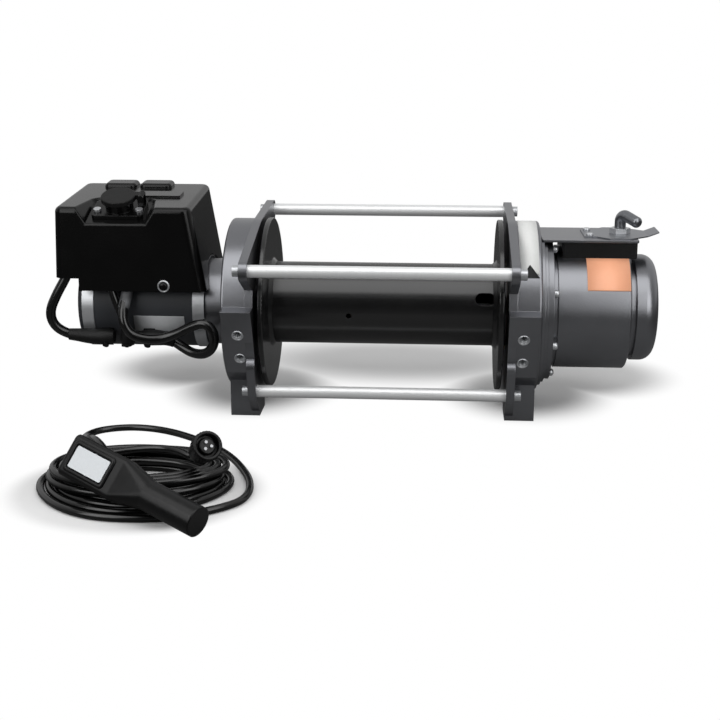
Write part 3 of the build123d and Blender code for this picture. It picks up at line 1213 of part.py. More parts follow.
def coil_point(turn):
    """Centre of the coil's cord after a number of turns, wound clockwise seen from above in three layers.
    The bottom layer spreads to the front; the top layer leans back over the hole in the coil."""
    second = turn - COIL_FIRST_TURNS
    third = second - COIL_SECOND_TURNS
    drawn_in = COIL_PITCH * (COIL_FIRST_TURNS - abs(second) + 2 * max(third, 0))
    climbed = sum(ramp(layer / COIL_CLIMB_TURNS + 0.5) for layer in (second, third))
    tail = 2 * (third - COIL_THIRD_TURNS + COIL_TAIL_CLIMB) / COIL_CLIMB_TURNS
    angle = radians(COIL_START) - 2 * pi * turn
    lean = COIL_LEAN * ramp(third + 0.5) * max(cos(angle - radians(COIL_LEAN_ANGLE)), 0) ** 2
    spread = COIL_SPREAD * max(1 - turn / COIL_FIRST_TURNS, 0) * max(-sin(angle), 0) ** 2
    return Vector(COIL_CENTRE[0] + (COIL_HALF_X - drawn_in) * cos(angle),
                  COIL_CENTRE[1] + (COIL_HALF_Y - drawn_in) * sin(angle) + lean - spread,
                  CORD_D / 2 + COIL_LAYER * (climbed + ramp(tail)))


def coil_heading(turn):
    """Direction of the coil's cord after a number of turns."""
    step = 0.001
    return (coil_point(turn + step) - coil_point(turn - step)).normalized()


def biarc(start, heading, end, end_heading):
    """Two arcs that leave start along one heading and reach end along another."""
    chord = end - start
    both = heading + end_heading
    spread = 2 * (1 - heading.dot(end_heading))
    along = chord.dot(both)
    reach = (sqrt(along * along + spread * chord.dot(chord)) - along) / spread
    first = start + heading * reach
    second = end - end_heading * reach
    middle = (first + second) * 0.5
    return [Edge.make_tangent_arc(start, heading, middle), Edge.make_tangent_arc(middle, second - first, end)]


coil_start = coil_point(0)
GLAND_TIP = GLAND.offset(GLAND_LENGTH).origin
LOOSE_PLACES = [(-273, -316, 20), (-277, -299, 25), (-287, -282, 31.3), (-299, -264, 33.4),
                (-310, -246, 31), (-320, -227, 22.5), (-329, -206, 12.5), (-338, -184, 6),
                (-343, -162, 4), (-334, -143, 4), (-316, -132, 4), (-293, -127, 4), (-268, -131, 4),
                (-243, -142, 4), (-219, -159, 4), (-196, -179, 4), (-174, -203, 4), (-156, -230, 4),
                (-142, -258, 4), (-131, -285, 4), (-125, -311, 4), (-124, -334, 4), (-129, -354, 4),
                (-142, -369, 4), (-160, -383, 4), (-182, -397, 4), (-208, -406, 4)]
LOOSE_CORD = [GLAND_TIP, GLAND_TIP - face_normal * GLAND_LENGTH, *[Vector(*place) for place in LOOSE_PLACES],
              coil_start + Vector(CORD_D, 0, 0)]

with BuildPart() as remote_cord:
    cord("remote cord", LOOSE_CORD, CORD_D)
keep(remote_cord, "remote_cord")

# The coil, and its last stretch over the pile and up to the plug
COIL_END_TURN = COIL_FIRST_TURNS + COIL_SECOND_TURNS + COIL_THIRD_TURNS
plug_level = Vector(*polar(1, PLUG_HEADING))
plug_axis = (plug_level * cos(radians(PLUG_TILT)) + Vector(0, 0, sin(radians(PLUG_TILT)))).normalized()
coil_end = coil_point(COIL_END_TURN)
bend_run = COIL_TAIL_BEND_R * sin(radians(PLUG_TILT)) + CORD_D * cos(radians(PLUG_TILT))
bend_rise = COIL_TAIL_BEND_R * (1 - cos(radians(PLUG_TILT))) + CORD_D * sin(radians(PLUG_TILT))
bend_start = Vector(*PLUG_PLACE, COIL_TAIL_HEIGHT) - plug_level * bend_run
PLUG_REAR = Vector(*PLUG_PLACE, COIL_TAIL_HEIGHT + bend_rise)
plug_entry = PLUG_REAR - plug_axis * CORD_D
coil_edges = [Edge.make_line(coil_start + Vector(CORD_D, 0, 0), coil_start)]
for index in range(int(4 * COIL_END_TURN)):
    before = index / 4
    after = before + 0.25
    coil_edges += biarc(coil_point(before), coil_heading(before), coil_point(after), coil_heading(after))
coil_edges += biarc(coil_end, coil_heading(COIL_END_TURN), bend_start, plug_level)
coil_edges.append(Edge.make_tangent_arc(bend_start, plug_level, plug_entry))
coil_edges.append(Edge.make_line(plug_entry, PLUG_REAR))
coil_path = Wire(coil_edges)


def least_self_gap(path, diameter):
    """Least free gap between stretches of a tube that aren't next to each other along it."""
    count = int(path.length / (diameter / 2))
    points = [path.position_at(index / count) for index in range(count + 1)]
    skip = int(pi * diameter / (path.length / count)) + 1
    near = [points[j] - points[i] for i in range(len(points)) for j in range(i + skip, len(points))]
    return min(apart.length for apart in near) - diameter


print("remote coil length", round(coil_path.length, 1),
      "least gap", round(least_self_gap(coil_path, CORD_D), 2))
with BuildPart() as remote_coil:
    with BuildSketch(Plane(coil_start + Vector(CORD_D, 0, 0), z_dir=(-1, 0, 0))):
        Circle(CORD_D / 2)
    sweep(path=coil_path)
keep(remote_coil, "remote_coil")

# Plug on the cord's end
PLUG = Plane(PLUG_REAR + plug_axis * FREE, z_dir=plug_axis)
PLUG_LENGTH = PLUG_BOOT_LENGTH + PLUG_BODY_LENGTH + PLUG_RING_LENGTH
with BuildPart() as plug_body:
    with BuildSketch(PLUG):
        Circle(PLUG_BOOT_R)
    with BuildSketch(PLUG.offset(PLUG_BOOT_LENGTH)):
        Circle(PLUG_BODY_R - HEAD_EDGE)
    loft()
    post(PLUG, 0, 0, PLUG_BOOT_LENGTH, PLUG_BOOT_LENGTH + PLUG_BODY_LENGTH, PLUG_BODY_R)
    post(PLUG, 0, 0, PLUG_BOOT_LENGTH + PLUG_BODY_LENGTH, PLUG_LENGTH, PLUG_RING_R)
    post(PLUG, 0, 0, PLUG_LENGTH - PLUG_FACE_DEPTH, PLUG_LENGTH, PLUG_FACE_R, mode=Mode.SUBTRACT)
    post(PLUG, 0, 0, PLUG_LENGTH - PLUG_FACE_DEPTH, PLUG_LENGTH - PLUG_INSERT_DROP, PLUG_INSERT_R)
keep(plug_body, "plug_body")

with BuildPart() as plug_pins:
    for index in range(PLUG_PIN_COUNT):
        x, y = polar(PLUG_PIN_CIRCLE_R, 90 + 360 * index / PLUG_PIN_COUNT)
        foot = PLUG_LENGTH - PLUG_INSERT_DROP
        post(PLUG, x, y, foot, foot + PLUG_PIN_LENGTH, PLUG_PIN_R)
keep(plug_pins, "plug_pins")
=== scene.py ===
from math import cos, pi, radians, sin

import bpy
from mathutils import Matrix, Vector


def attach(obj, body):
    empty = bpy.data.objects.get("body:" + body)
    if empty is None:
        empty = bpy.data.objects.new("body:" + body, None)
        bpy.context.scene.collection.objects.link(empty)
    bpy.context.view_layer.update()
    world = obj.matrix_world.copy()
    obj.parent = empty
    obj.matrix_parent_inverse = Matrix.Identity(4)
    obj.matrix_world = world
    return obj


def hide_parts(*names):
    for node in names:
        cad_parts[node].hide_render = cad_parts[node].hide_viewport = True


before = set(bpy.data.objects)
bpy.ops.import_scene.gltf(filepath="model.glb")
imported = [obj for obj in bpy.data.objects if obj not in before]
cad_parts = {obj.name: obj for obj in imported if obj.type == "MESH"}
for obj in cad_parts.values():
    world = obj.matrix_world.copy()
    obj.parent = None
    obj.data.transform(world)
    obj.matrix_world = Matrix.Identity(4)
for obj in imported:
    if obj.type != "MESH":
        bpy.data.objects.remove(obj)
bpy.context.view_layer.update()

# The camera stands in front of the winch, a little above it and just right of its middle.
# Its lens, place and shift give the photograph's frame.
CAMERA_PLACE = Vector((0.0727, -1.5518, 0.4872))
CAMERA_AZIMUTH = radians(3.8)
CAMERA_ELEVATION = radians(14.0)

camera_data = bpy.data.cameras.new("camera")
camera_data.lens = 63.36
camera_data.sensor_width = 36.0
camera_data.shift_y = -0.0446
camera_data.clip_end = 50.0
camera = bpy.data.objects.new("camera", camera_data)
bpy.context.scene.collection.objects.link(camera)
back = Vector((sin(CAMERA_AZIMUTH) * cos(CAMERA_ELEVATION), -cos(CAMERA_AZIMUTH) * cos(CAMERA_ELEVATION),
               sin(CAMERA_ELEVATION)))
right = Vector((cos(CAMERA_AZIMUTH), sin(CAMERA_AZIMUTH), 0))
turn = Matrix((right, back.cross(right), back)).transposed()
camera.matrix_world = Matrix.Translation(CAMERA_PLACE) @ turn.to_4x4()
bpy.context.scene.camera = camera
bpy.context.scene.view_settings.view_transform = "Standard"


# The floor is a sheet of pale studio paper under soft light. The camera sees it white, with soft patches of shadow
# round the winch and its remote. Reflections and bounce light see a mid-grey copy of it with part of that white:
# painted shade, darkening further from the middle as a painted fall-off of light.
def linear(hex_colour):
    """sRGB hex value as a linear colour with alpha 1."""
    channels = [int(hex_colour[i:i + 2], 16) / 255 for i in (1, 3, 5)]
    return tuple(c / 12.92 if c <= 0.04045 else ((c + 0.055) / 1.055) ** 2.4 for c in channels) + (1.0,)


def add_node(tree, kind, inputs={}, **settings):
    """Add a node, set it, and set or link its inputs."""
    node = tree.nodes.new(kind)
    for name, value in settings.items():
        setattr(node, name, value)
    for name, value in inputs.items():
        if isinstance(value, bpy.types.NodeSocket):
            tree.links.new(value, node.inputs[name])
        else:
            node.inputs[name].default_value = value
    return node


def start_material(name):
    """New material, its empty node tree, and the place on the object in metres."""
    material = bpy.data.materials.new(name)
    material.use_nodes = True
    material.node_tree.nodes.clear()
    return material, material.node_tree, add_node(material.node_tree, "ShaderNodeTexCoord").outputs["Object"]


# Each patch of shadow: its middle, its reach each way, and the share of the reach that is in full shadow.
SHADOW_PATCHES = [((0.01, 0.215), (0.32, 0.16), 0.3), ((-0.27, 0.155), (0.15, 0.13), 0.45),
                  ((0.27, 0.15), (0.14, 0.13), 0.45), ((-0.175, 0.07), (0.13, 0.16), 0.4),
                  ((0.185, 0.07), (0.13, 0.16), 0.4), ((-0.245, -0.32), (0.145, 0.126), 0.8)]
# Painted fall-off of light on the paper seen in reflections: where it starts and ends, in metres from the middle.
FALLOFF_START, FALLOFF_END = 0.4, 0.75
WHITE_IN_REFLECTIONS = 0.05

paper, tree, place = start_material("white studio paper")
rays = add_node(tree, "ShaderNodeLightPath")
fibres = add_node(tree, "ShaderNodeTexNoise", {"Vector": place, "Scale": 1000 / 3.0, "Detail": 3.0})
# Mid-grey tint of the paper for reflections and bounce light: painted shade, darker than the white the camera sees.
shaded_tint = add_node(tree, "ShaderNodeMix",
                {"Factor": fibres.outputs["Fac"], "A": linear("#686868"), "B": linear("#707070")}, data_type="RGBA")
lit_sheet = add_node(tree, "ShaderNodeBsdfDiffuse", {"Color": linear("#dadada")})
glow = add_node(tree, "ShaderNodeEmission", {"Color": (1, 1, 1, 1), "Strength": 0.03})
near = add_node(tree, "ShaderNodeAddShader", {0: lit_sheet.outputs[0], 1: glow.outputs[0]})
far = add_node(tree, "ShaderNodeEmission", {"Color": (1, 1, 1, 1), "Strength": 1.0})
fade = 1.0
for middle, reach, core in SHADOW_PATCHES:
    patch = add_node(tree, "ShaderNodeMapping",
                     {"Vector": place, "Location": middle + (0,), "Scale": reach + (1,)}, vector_type="TEXTURE")
    spread = add_node(tree, "ShaderNodeVectorMath", {0: patch.outputs["Vector"]}, operation="LENGTH")
    edge = add_node(tree, "ShaderNodeMapRange",
                    {"Value": spread.outputs["Value"], "From Min": core, "From Max": 1.0},
                    interpolation_type="SMOOTHSTEP")
    least = add_node(tree, "ShaderNodeMath", {0: fade, 1: edge.outputs["Result"]}, operation="MINIMUM")
    fade = least.outputs[0]
seen = add_node(tree, "ShaderNodeMixShader", {0: fade, 1: near.outputs[0], 2: far.outputs[0]})
# Painted fall-off of light: the paper's painted shade tone darkens away from the middle, down to #383838.
distance_out = add_node(tree, "ShaderNodeVectorMath", {0: place}, operation="LENGTH")
painted_falloff = add_node(tree, "ShaderNodeMapRange",
                {"Value": distance_out.outputs["Value"], "From Min": FALLOFF_START, "From Max": FALLOFF_END},
                interpolation_type="SMOOTHSTEP")
painted_shade_tone = add_node(tree, "ShaderNodeMix",
                {"Factor": painted_falloff.outputs["Result"], "A": shaded_tint.outputs["Result"], "B": linear("#383838")},
                data_type="RGBA")
sheet = add_node(tree, "ShaderNodeBsdfDiffuse", {"Color": painted_shade_tone.outputs["Result"]})
mirrored = add_node(tree, "ShaderNodeMath", {0: rays.outputs["Is Glossy Ray"], 1: WHITE_IN_REFLECTIONS},
                    operation="MULTIPLY")
either = add_node(tree, "ShaderNodeMath",
                  {0: rays.outputs["Is Camera Ray"], 1: rays.outputs["Is Transmission Ray"]}, operation="MAXIMUM")
either = add_node(tree, "ShaderNodeMath", {0: either.outputs[0], 1: mirrored.outputs[0]}, operation="MAXIMUM")
mixed = add_node(tree, "ShaderNodeMixShader", {0: either.outputs[0], 1: sheet.outputs[0], 2: seen.outputs[0]})
add_node(tree, "ShaderNodeOutputMaterial", {"Surface": mixed.outputs[0]})
floor_mesh = bpy.data.meshes.new("floor")
floor_mesh.from_pydata([(-20, -20, 0), (20, -20, 0), (20, 20, 0), (-20, 20, 0)], [], [(0, 1, 2, 3)])
floor_mesh.materials.append(paper)
floor = bpy.data.objects.new("floor", floor_mesh)
bpy.context.scene.collection.objects.link(floor)

# Studio light: a white backdrop behind the winch, a dim room in front of it, one wide softbox above the camera,
# and a smaller, weaker one to each side of it.
world = bpy.data.worlds.new("white backdrop and dim room")
bpy.context.scene.world = world
world.use_nodes = True
tree = world.node_tree
tree.nodes.clear()
place = add_node(tree, "ShaderNodeTexCoord")
axes = add_node(tree, "ShaderNodeSeparateXYZ", {"Vector": place.outputs["Generated"]})
depth = add_node(tree, "ShaderNodeMapRange", {"Value": axes.outputs["Y"], "From Min": -0.6, "From Max": 0.3,
                                              "To Min": 0.03, "To Max": 0.6})
room = add_node(tree, "ShaderNodeBackground", {"Color": (1, 1, 1, 1), "Strength": depth.outputs["Result"]})
white = add_node(tree, "ShaderNodeBackground", {"Color": (1, 1, 1, 1), "Strength": 1.0})
rays = add_node(tree, "ShaderNodeLightPath")
either = add_node(tree, "ShaderNodeMath",
                  {0: rays.outputs["Is Camera Ray"], 1: rays.outputs["Is Transmission Ray"]}, operation="MAXIMUM")
mixed = add_node(tree, "ShaderNodeMixShader", {0: either.outputs[0], 1: room.outputs[0], 2: white.outputs[0]})
add_node(tree, "ShaderNodeOutputWorld", {"Surface": mixed.outputs[0]})

# Each box: its name, place, aim, size and power in watts.
BOXES = [("softbox", (-0.05, -0.62, 1.22), (-0.05, 0.0, 0.15), (2.4, 0.95), 13.5),
         ("left front box", (-0.86, -1.05, 0.6), (-0.2, -0.1, 0.15), (0.8, 0.76), 5.0),
         ("right front box", (0.84, -1.05, 0.56), (0.2, 0.0, 0.15), (0.8, 0.76), 5.0)]
for name, place, aim, size, power in BOXES:
    light = bpy.data.lights.new(name, "AREA")
    light.shape = "RECTANGLE"
    light.size, light.size_y = size
    light.energy = power
    lamp = bpy.data.objects.new(name, light)
    lamp.location = place
    lamp.rotation_euler = (Vector(aim) - Vector(place)).to_track_quat("-Z", "Y").to_euler()
    bpy.context.scene.collection.objects.link(lamp)

# Drum supports, gear casings and motor bracket: cast iron and cast aluminium, machined where they mate,
# then sprayed in a dark grey metallic enamel. The spray leaves a faint orange peel, drawn coarser than life
# so that it shows, and softer edges.
enamel, tree, place = start_material("dark grey metallic enamel")
drift = add_node(tree, "ShaderNodeTexNoise", {"Vector": place, "Scale": 1000 / 45.0, "Detail": 3.0})
shade = add_node(tree, "ShaderNodeMix",
                 {"Factor": drift.outputs["Fac"], "A": linear("#838488"), "B": linear("#8d8e92")}, data_type="RGBA")
gloss = add_node(tree, "ShaderNodeMapRange", {"Value": drift.outputs["Fac"], "To Min": 0.28, "To Max": 0.36})
peel = add_node(tree, "ShaderNodeTexNoise", {"Vector": place, "Scale": 1000 / 1.4, "Detail": 2.0})
soft_edge = add_node(tree, "ShaderNodeBevel", {"Radius": 0.0012}, samples=4)
bump = add_node(tree, "ShaderNodeBump", {"Height": peel.outputs["Fac"], "Strength": 0.1, "Distance": 0.0004,
                                         "Normal": soft_edge.outputs["Normal"]})
body = add_node(tree, "ShaderNodeBsdfPrincipled",
                {"Base Color": shade.outputs["Result"], "Roughness": gloss.outputs["Result"],
                 "Normal": bump.outputs["Normal"], "Metallic": 1.0})
add_node(tree, "ShaderNodeOutputMaterial", {"Surface": body.outputs[0]})


def coat(material, *names):
    """Give CAD nodes their finish."""
    for name in names:
        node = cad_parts[name]
        node.data.materials.clear()
        node.data.materials.append(material)


coat(enamel, "motor_end_support", "gear_end_support", "gear_mounting_ring", "gear_housing", "gear_end_cap",
     "motor_drive_bracket", "clutch_cover")

# Screws, motor bands, clutch collar and pin: mild steel with bright zinc plate, which is smooth
# with a slight cloud in its gloss.
zinc, tree, place = start_material("bright zinc-plated steel")
cloud = add_node(tree, "ShaderNodeTexNoise", {"Vector": place, "Scale": 1000 / 8.0, "Detail": 3.0})
gloss = add_node(tree, "ShaderNodeMapRange", {"Value": cloud.outputs["Fac"], "To Min": 0.32, "To Max": 0.42})
shade = add_node(tree, "ShaderNodeMix",
                 {"Factor": cloud.outputs["Fac"], "A": linear("#c4c6c9"), "B": linear("#ced0d2")}, data_type="RGBA")
soft_edge = add_node(tree, "ShaderNodeBevel", {"Radius": 0.0006}, samples=4)
body = add_node(tree, "ShaderNodeBsdfPrincipled",
                {"Base Color": shade.outputs["Result"], "Roughness": gloss.outputs["Result"],
                 "Normal": soft_edge.outputs["Normal"], "Metallic": 0.8})
add_node(tree, "ShaderNodeOutputMaterial", {"Surface": body.outputs[0]})
coat(zinc, "tie_rod_screws", "gear_housing_screws", "clutch_screws", "pack_screws", "motor_bands", "clutch_collar",
     "clutch_pin")

# Threads in the bolting pads: each M12 hole has a bright steel insert, with a thread inside the drilled hole
# and a low collar with a bevelled mouth on the pad.
AXIS_HEIGHT = 132.0
PAD_TILT = radians(26.0)
PAD_DISTANCE = 105.0
PAD_HOLE_UP = (32.0, -4.0)
PAD_X = 169.0
TAP_R = 5.0
THREAD_PITCH = 1.75
THREAD_DEPTH = 0.7
THREAD_LENGTH = 19.0
PAD_COLLAR = [(-0.4, 7.2), (0.7, 7.1), (1.1, 6.7), (0.0, 5.05), (-0.6, 5.0), (-0.4, 7.2)]


def place_mesh(name, vertices, faces, material, body="frame", sharp=40.0):
    """Mesh in millimetres as a piece that rides on a body."""
    mesh = bpy.data.meshes.new(name)
    mesh.from_pydata([Vector(vertex) / 1000 for vertex in vertices], [], faces)
    mesh.materials.append(material)
    mesh.shade_smooth()
    mesh.set_sharp_from_angle(angle=radians(sharp))
    piece = bpy.data.objects.new(name, mesh)
    bpy.context.scene.collection.objects.link(piece)
    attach(piece, body)
    return piece


def turned(name, outlines, material):
    """Round pieces about a line: each is a list of (height, radius) in millimetres, its foot and its direction."""
    vertices, faces, around = [], [], 40
    for outline, foot, facing in outlines:
        lie = Vector(facing).to_track_quat("Z", "Y").to_matrix()
        first = len(vertices)
        for height, r in outline:
            for step in range(around):
                angle = 2 * pi * step / around
                vertices.append(Vector(foot) + lie @ Vector((r * cos(angle), r * sin(angle), height)))
        for ring in range(len(outline) - 1):
            for step in range(around):
                low, high = first + ring * around, first + (ring + 1) * around
                faces.append((low + step, low + (step + 1) % around, high + (step + 1) % around, high + step))
        if outline[0] != outline[-1]:
            faces.append(tuple(first + step for step in reversed(range(around))))
            faces.append(tuple(len(vertices) - around + step for step in range(around)))
    return place_mesh(name, vertices, faces, material)


vertices, faces, mouths = [], [], []
around, along = 32, 66
for x in (-PAD_X, PAD_X):
    for up in PAD_HOLE_UP:
        mouth = Vector((x, -PAD_DISTANCE * cos(PAD_TILT) - up * sin(PAD_TILT),
                        AXIS_HEIGHT - PAD_DISTANCE * sin(PAD_TILT) + up * cos(PAD_TILT)))
        inward = Vector((0, cos(PAD_TILT), sin(PAD_TILT)))
        across, upward = Vector((1, 0, 0)), Vector((0, -sin(PAD_TILT), cos(PAD_TILT)))
        mouths.append((mouth, -inward))
        first = len(vertices)
        for ring in range(along + 1):
            depth = 0.4 + THREAD_LENGTH * ring / along
            for step in range(around):
                phase = (depth / THREAD_PITCH - step / around) % 1.0
                r = TAP_R - THREAD_DEPTH * (1 - abs(2 * phase - 1)) * min(depth / 1.5, 1.0)
                angle = 2 * pi * step / around
                vertices.append(mouth + inward * depth + (across * cos(angle) + upward * sin(angle)) * r)
        for ring in range(along):
            for step in range(around):
                low, high = first + ring * around, first + (ring + 1) * around
                faces.append((low + step, high + step, high + (step + 1) % around, low + (step + 1) % around))
place_mesh("pad_threads", vertices, faces, zinc, sharp=80.0)
turned("pad_collars", [(PAD_COLLAR, mouth, outward) for mouth, outward in mouths], zinc)

# Tie rods: bright drawn steel bar, ground and hard-chromed, held between the supports by socket screws.
# Grinding leaves faint lines round the bar, drawn coarser than life so that they show.
chrome, tree, place = start_material("ground hard chrome")
along = add_node(tree, "ShaderNodeMapping", {"Vector": place, "Scale": (1000 / 0.8, 1000 / 12.0, 1000 / 12.0)})
lines = add_node(tree, "ShaderNodeTexNoise", {"Vector": along.outputs["Vector"], "Scale": 1.0, "Detail": 2.0})
gloss = add_node(tree, "ShaderNodeMapRange", {"Value": lines.outputs["Fac"], "To Min": 0.36, "To Max": 0.44})
shade = add_node(tree, "ShaderNodeMix",
                 {"Factor": lines.outputs["Fac"], "A": linear("#eeeff0"), "B": linear("#f6f7f7")}, data_type="RGBA")
body = add_node(tree, "ShaderNodeBsdfPrincipled",
                {"Base Color": shade.outputs["Result"], "Roughness": gloss.outputs["Result"],
                 "Metallic": 0.55})
add_node(tree, "ShaderNodeOutputMaterial", {"Surface": body.outputs[0]})
coat(chrome, "tie_rods")

# Drum barrel and flanges: steel tube and plate, welded, turned and sprayed in glossy black enamel.
# Turning leaves faint rings round the barrel under the paint.
black_enamel, tree, place = start_material("black enamel on turned steel")
rings = add_node(tree, "ShaderNodeTexWave", {"Vector": place, "Scale": 1000 / (1.6 * 20), "Distortion": 0.6,
                                             "Detail": 2.0}, bands_direction="X")
drift = add_node(tree, "ShaderNodeTexNoise", {"Vector": place, "Scale": 1000 / 30.0, "Detail": 3.0})
shade = add_node(tree, "ShaderNodeMix",
                 {"Factor": drift.outputs["Fac"], "A": linear("#070707"), "B": linear("#0c0c0d")}, data_type="RGBA")
gloss = add_node(tree, "ShaderNodeMapRange", {"Value": drift.outputs["Fac"], "To Min": 0.2, "To Max": 0.28})
soft_edge = add_node(tree, "ShaderNodeBevel", {"Radius": 0.001}, samples=4)
bump = add_node(tree, "ShaderNodeBump", {"Height": rings.outputs["Fac"], "Strength": 0.05, "Distance": 0.0003,
                                         "Normal": soft_edge.outputs["Normal"]})
body = add_node(tree, "ShaderNodeBsdfPrincipled",
                {"Base Color": shade.outputs["Result"], "Roughness": gloss.outputs["Result"],
                 "Normal": bump.outputs["Normal"], "IOR": 1.5, "Specular IOR Level": 0.8})
add_node(tree, "ShaderNodeOutputMaterial", {"Surface": body.outputs[0]})
coat(black_enamel, "drum_barrel", "drum_flange_motor_end", "drum_flange_gear_end", "clutch_housing", "pack_base")

# Drum bushes and brush holders: turned and milled from bronze, the bushes pressed into the supports.
# The tool leaves fine lines.
bronze, tree, place = start_material("machined bronze")
lines = add_node(tree, "ShaderNodeTexNoise", {"Vector": place, "Scale": 1000 / 1.0, "Detail": 2.0})
shade = add_node(tree, "ShaderNodeMix",
                 {"Factor": lines.outputs["Fac"], "A": linear("#b08d4f"), "B": linear("#c2a064")}, data_type="RGBA")
gloss = add_node(tree, "ShaderNodeMapRange", {"Value": lines.outputs["Fac"], "To Min": 0.25, "To Max": 0.4})
body = add_node(tree, "ShaderNodeBsdfPrincipled",
                {"Base Color": shade.outputs["Result"], "Roughness": gloss.outputs["Result"],
                 "Metallic": 1.0})
add_node(tree, "ShaderNodeOutputMaterial", {"Surface": body.outputs[0]})
coat(bronze, "drum_bushes", "brush_holders")

# Gear train, shafts, armature core and bearings: machined alloy steel, left bare inside the casings.
# A light film of oil varies its gloss.
steel, tree, place = start_material("machined alloy steel")
lines = add_node(tree, "ShaderNodeTexNoise", {"Vector": place, "Scale": 1000 / 1.5, "Detail": 3.0})
shade = add_node(tree, "ShaderNodeMix",
                 {"Factor": lines.outputs["Fac"], "A": linear("#8b8c8e"), "B": linear("#9c9d9f")}, data_type="RGBA")
gloss = add_node(tree, "ShaderNodeMapRange", {"Value": lines.outputs["Fac"], "To Min": 0.22, "To Max": 0.38})
body = add_node(tree, "ShaderNodeBsdfPrincipled",
                {"Base Color": shade.outputs["Result"], "Roughness": gloss.outputs["Result"],
                 "Metallic": 1.0})
add_node(tree, "ShaderNodeOutputMaterial", {"Surface": body.outputs[0]})
coat(steel, "drive_shaft", "brake_hub", "sun_gear_1", "carrier_1", "carrier_2", "output_carrier", "ring_gear",
     "armature", "field_poles", "motor_bearings",
     *[f"planet_{stage}{letter}" for stage in (1, 2, 3) for letter in "abc"])

# Commutator: hard-drawn copper bars, pressed on the armature shaft and turned.
# Handling and use leave it unevenly browned.
copper, tree, place = start_material("turned copper")
lines = add_node(tree, "ShaderNodeTexNoise", {"Vector": place, "Scale": 1000 / 2.0, "Detail": 2.0})
shade = add_node(tree, "ShaderNodeMix",
                 {"Factor": lines.outputs["Fac"], "A": linear("#8f5236"), "B": linear("#bf7450")}, data_type="RGBA")
body = add_node(tree, "ShaderNodeBsdfPrincipled",
                {"Base Color": shade.outputs["Result"], "Roughness": 0.3, "Metallic": 1.0})
add_node(tree, "ShaderNodeOutputMaterial", {"Surface": body.outputs[0]})
coat(copper, "commutator")

# Brake liner: friction lining bonded from fibre and resin, and fixed inside the drum.
# It is dull brown with coarse fibres.
lining, tree, place = start_material("bonded brake lining")
fibres = add_node(tree, "ShaderNodeTexNoise", {"Vector": place, "Scale": 1000 / 2.5, "Detail": 5.0})
shade = add_node(tree, "ShaderNodeMix",
                 {"Factor": fibres.outputs["Fac"], "A": linear("#3a322a"), "B": linear("#5a4e42")}, data_type="RGBA")
body = add_node(tree, "ShaderNodeBsdfPrincipled",
                {"Base Color": shade.outputs["Result"], "Roughness": 0.85})
add_node(tree, "ShaderNodeOutputMaterial", {"Surface": body.outputs[0]})
coat(lining, "brake_liner")

# Motor case and end bell: drawn steel tube and a pressed end, in a matt charcoal stoving paint.
# The paint has a fine even grain, drawn coarser than life so that it shows.
stoving, tree, place = start_material("charcoal stoving paint")
drift = add_node(tree, "ShaderNodeTexNoise", {"Vector": place, "Scale": 1000 / 25.0, "Detail": 4.0})
shade = add_node(tree, "ShaderNodeMix",
                 {"Factor": drift.outputs["Fac"], "A": linear("#2c2e31"), "B": linear("#35373b")}, data_type="RGBA")
gloss = add_node(tree, "ShaderNodeMapRange", {"Value": drift.outputs["Fac"], "To Min": 0.42, "To Max": 0.54})
peel = add_node(tree, "ShaderNodeTexNoise", {"Vector": place, "Scale": 1000 / 1.2, "Detail": 2.0})
soft_edge = add_node(tree, "ShaderNodeBevel", {"Radius": 0.001}, samples=4)
bump = add_node(tree, "ShaderNodeBump", {"Height": peel.outputs["Fac"], "Strength": 0.12, "Distance": 0.0003,
                                         "Normal": soft_edge.outputs["Normal"]})
body = add_node(tree, "ShaderNodeBsdfPrincipled",
                {"Base Color": shade.outputs["Result"], "Roughness": gloss.outputs["Result"],
                 "Normal": bump.outputs["Normal"], "IOR": 1.5, "Specular IOR Level": 0.35})
add_node(tree, "ShaderNodeOutputMaterial", {"Surface": body.outputs[0]})
coat(stoving, "motor_case", "motor_end_bell")

# Clutch handle: bent from round steel bar, with a turned end, and set on the locking pin.
# The steel is bare and satin.
satin_steel, tree, place = start_material("satin steel bar")
brushing = add_node(tree, "ShaderNodeTexNoise", {"Vector": place, "Scale": 1000 / 1.5, "Detail": 3.0})
shade = add_node(tree, "ShaderNodeMix",
                 {"Factor": brushing.outputs["Fac"], "A": linear("#7d7f83"), "B": linear("#8f9195")},
                 data_type="RGBA")
gloss = add_node(tree, "ShaderNodeMapRange", {"Value": brushing.outputs["Fac"], "To Min": 0.26, "To Max": 0.36})
body = add_node(tree, "ShaderNodeBsdfPrincipled",
                {"Base Color": shade.outputs["Result"], "Roughness": gloss.outputs["Result"],
                 "Metallic": 1.0})
add_node(tree, "ShaderNodeOutputMaterial", {"Surface": body.outputs[0]})
coat(satin_steel, "clutch_handle")

# Clutch leaf spring: spring-steel strip, cut to shape, bent up at its tip and held by two screws.
# It is left bare, with rolling lines along it.
spring_strip, tree, place = start_material("rolled spring steel")
along = add_node(tree, "ShaderNodeMapping", {"Vector": place, "Scale": (1000 / 40.0, 1000 / 1.2, 1000 / 1.2)})
roll = add_node(tree, "ShaderNodeTexNoise", {"Vector": along.outputs["Vector"], "Scale": 1.0, "Detail": 3.0})
shade = add_node(tree, "ShaderNodeMix",
                 {"Factor": roll.outputs["Fac"], "A": linear("#85878c"), "B": linear("#989a9f")}, data_type="RGBA")
gloss = add_node(tree, "ShaderNodeMapRange", {"Value": roll.outputs["Fac"], "To Min": 0.28, "To Max": 0.42})
body = add_node(tree, "ShaderNodeBsdfPrincipled",
                {"Base Color": shade.outputs["Result"], "Roughness": gloss.outputs["Result"],
                 "Metallic": 1.0})
add_node(tree, "ShaderNodeOutputMaterial", {"Surface": body.outputs[0]})
coat(spring_strip, "leaf_spring")

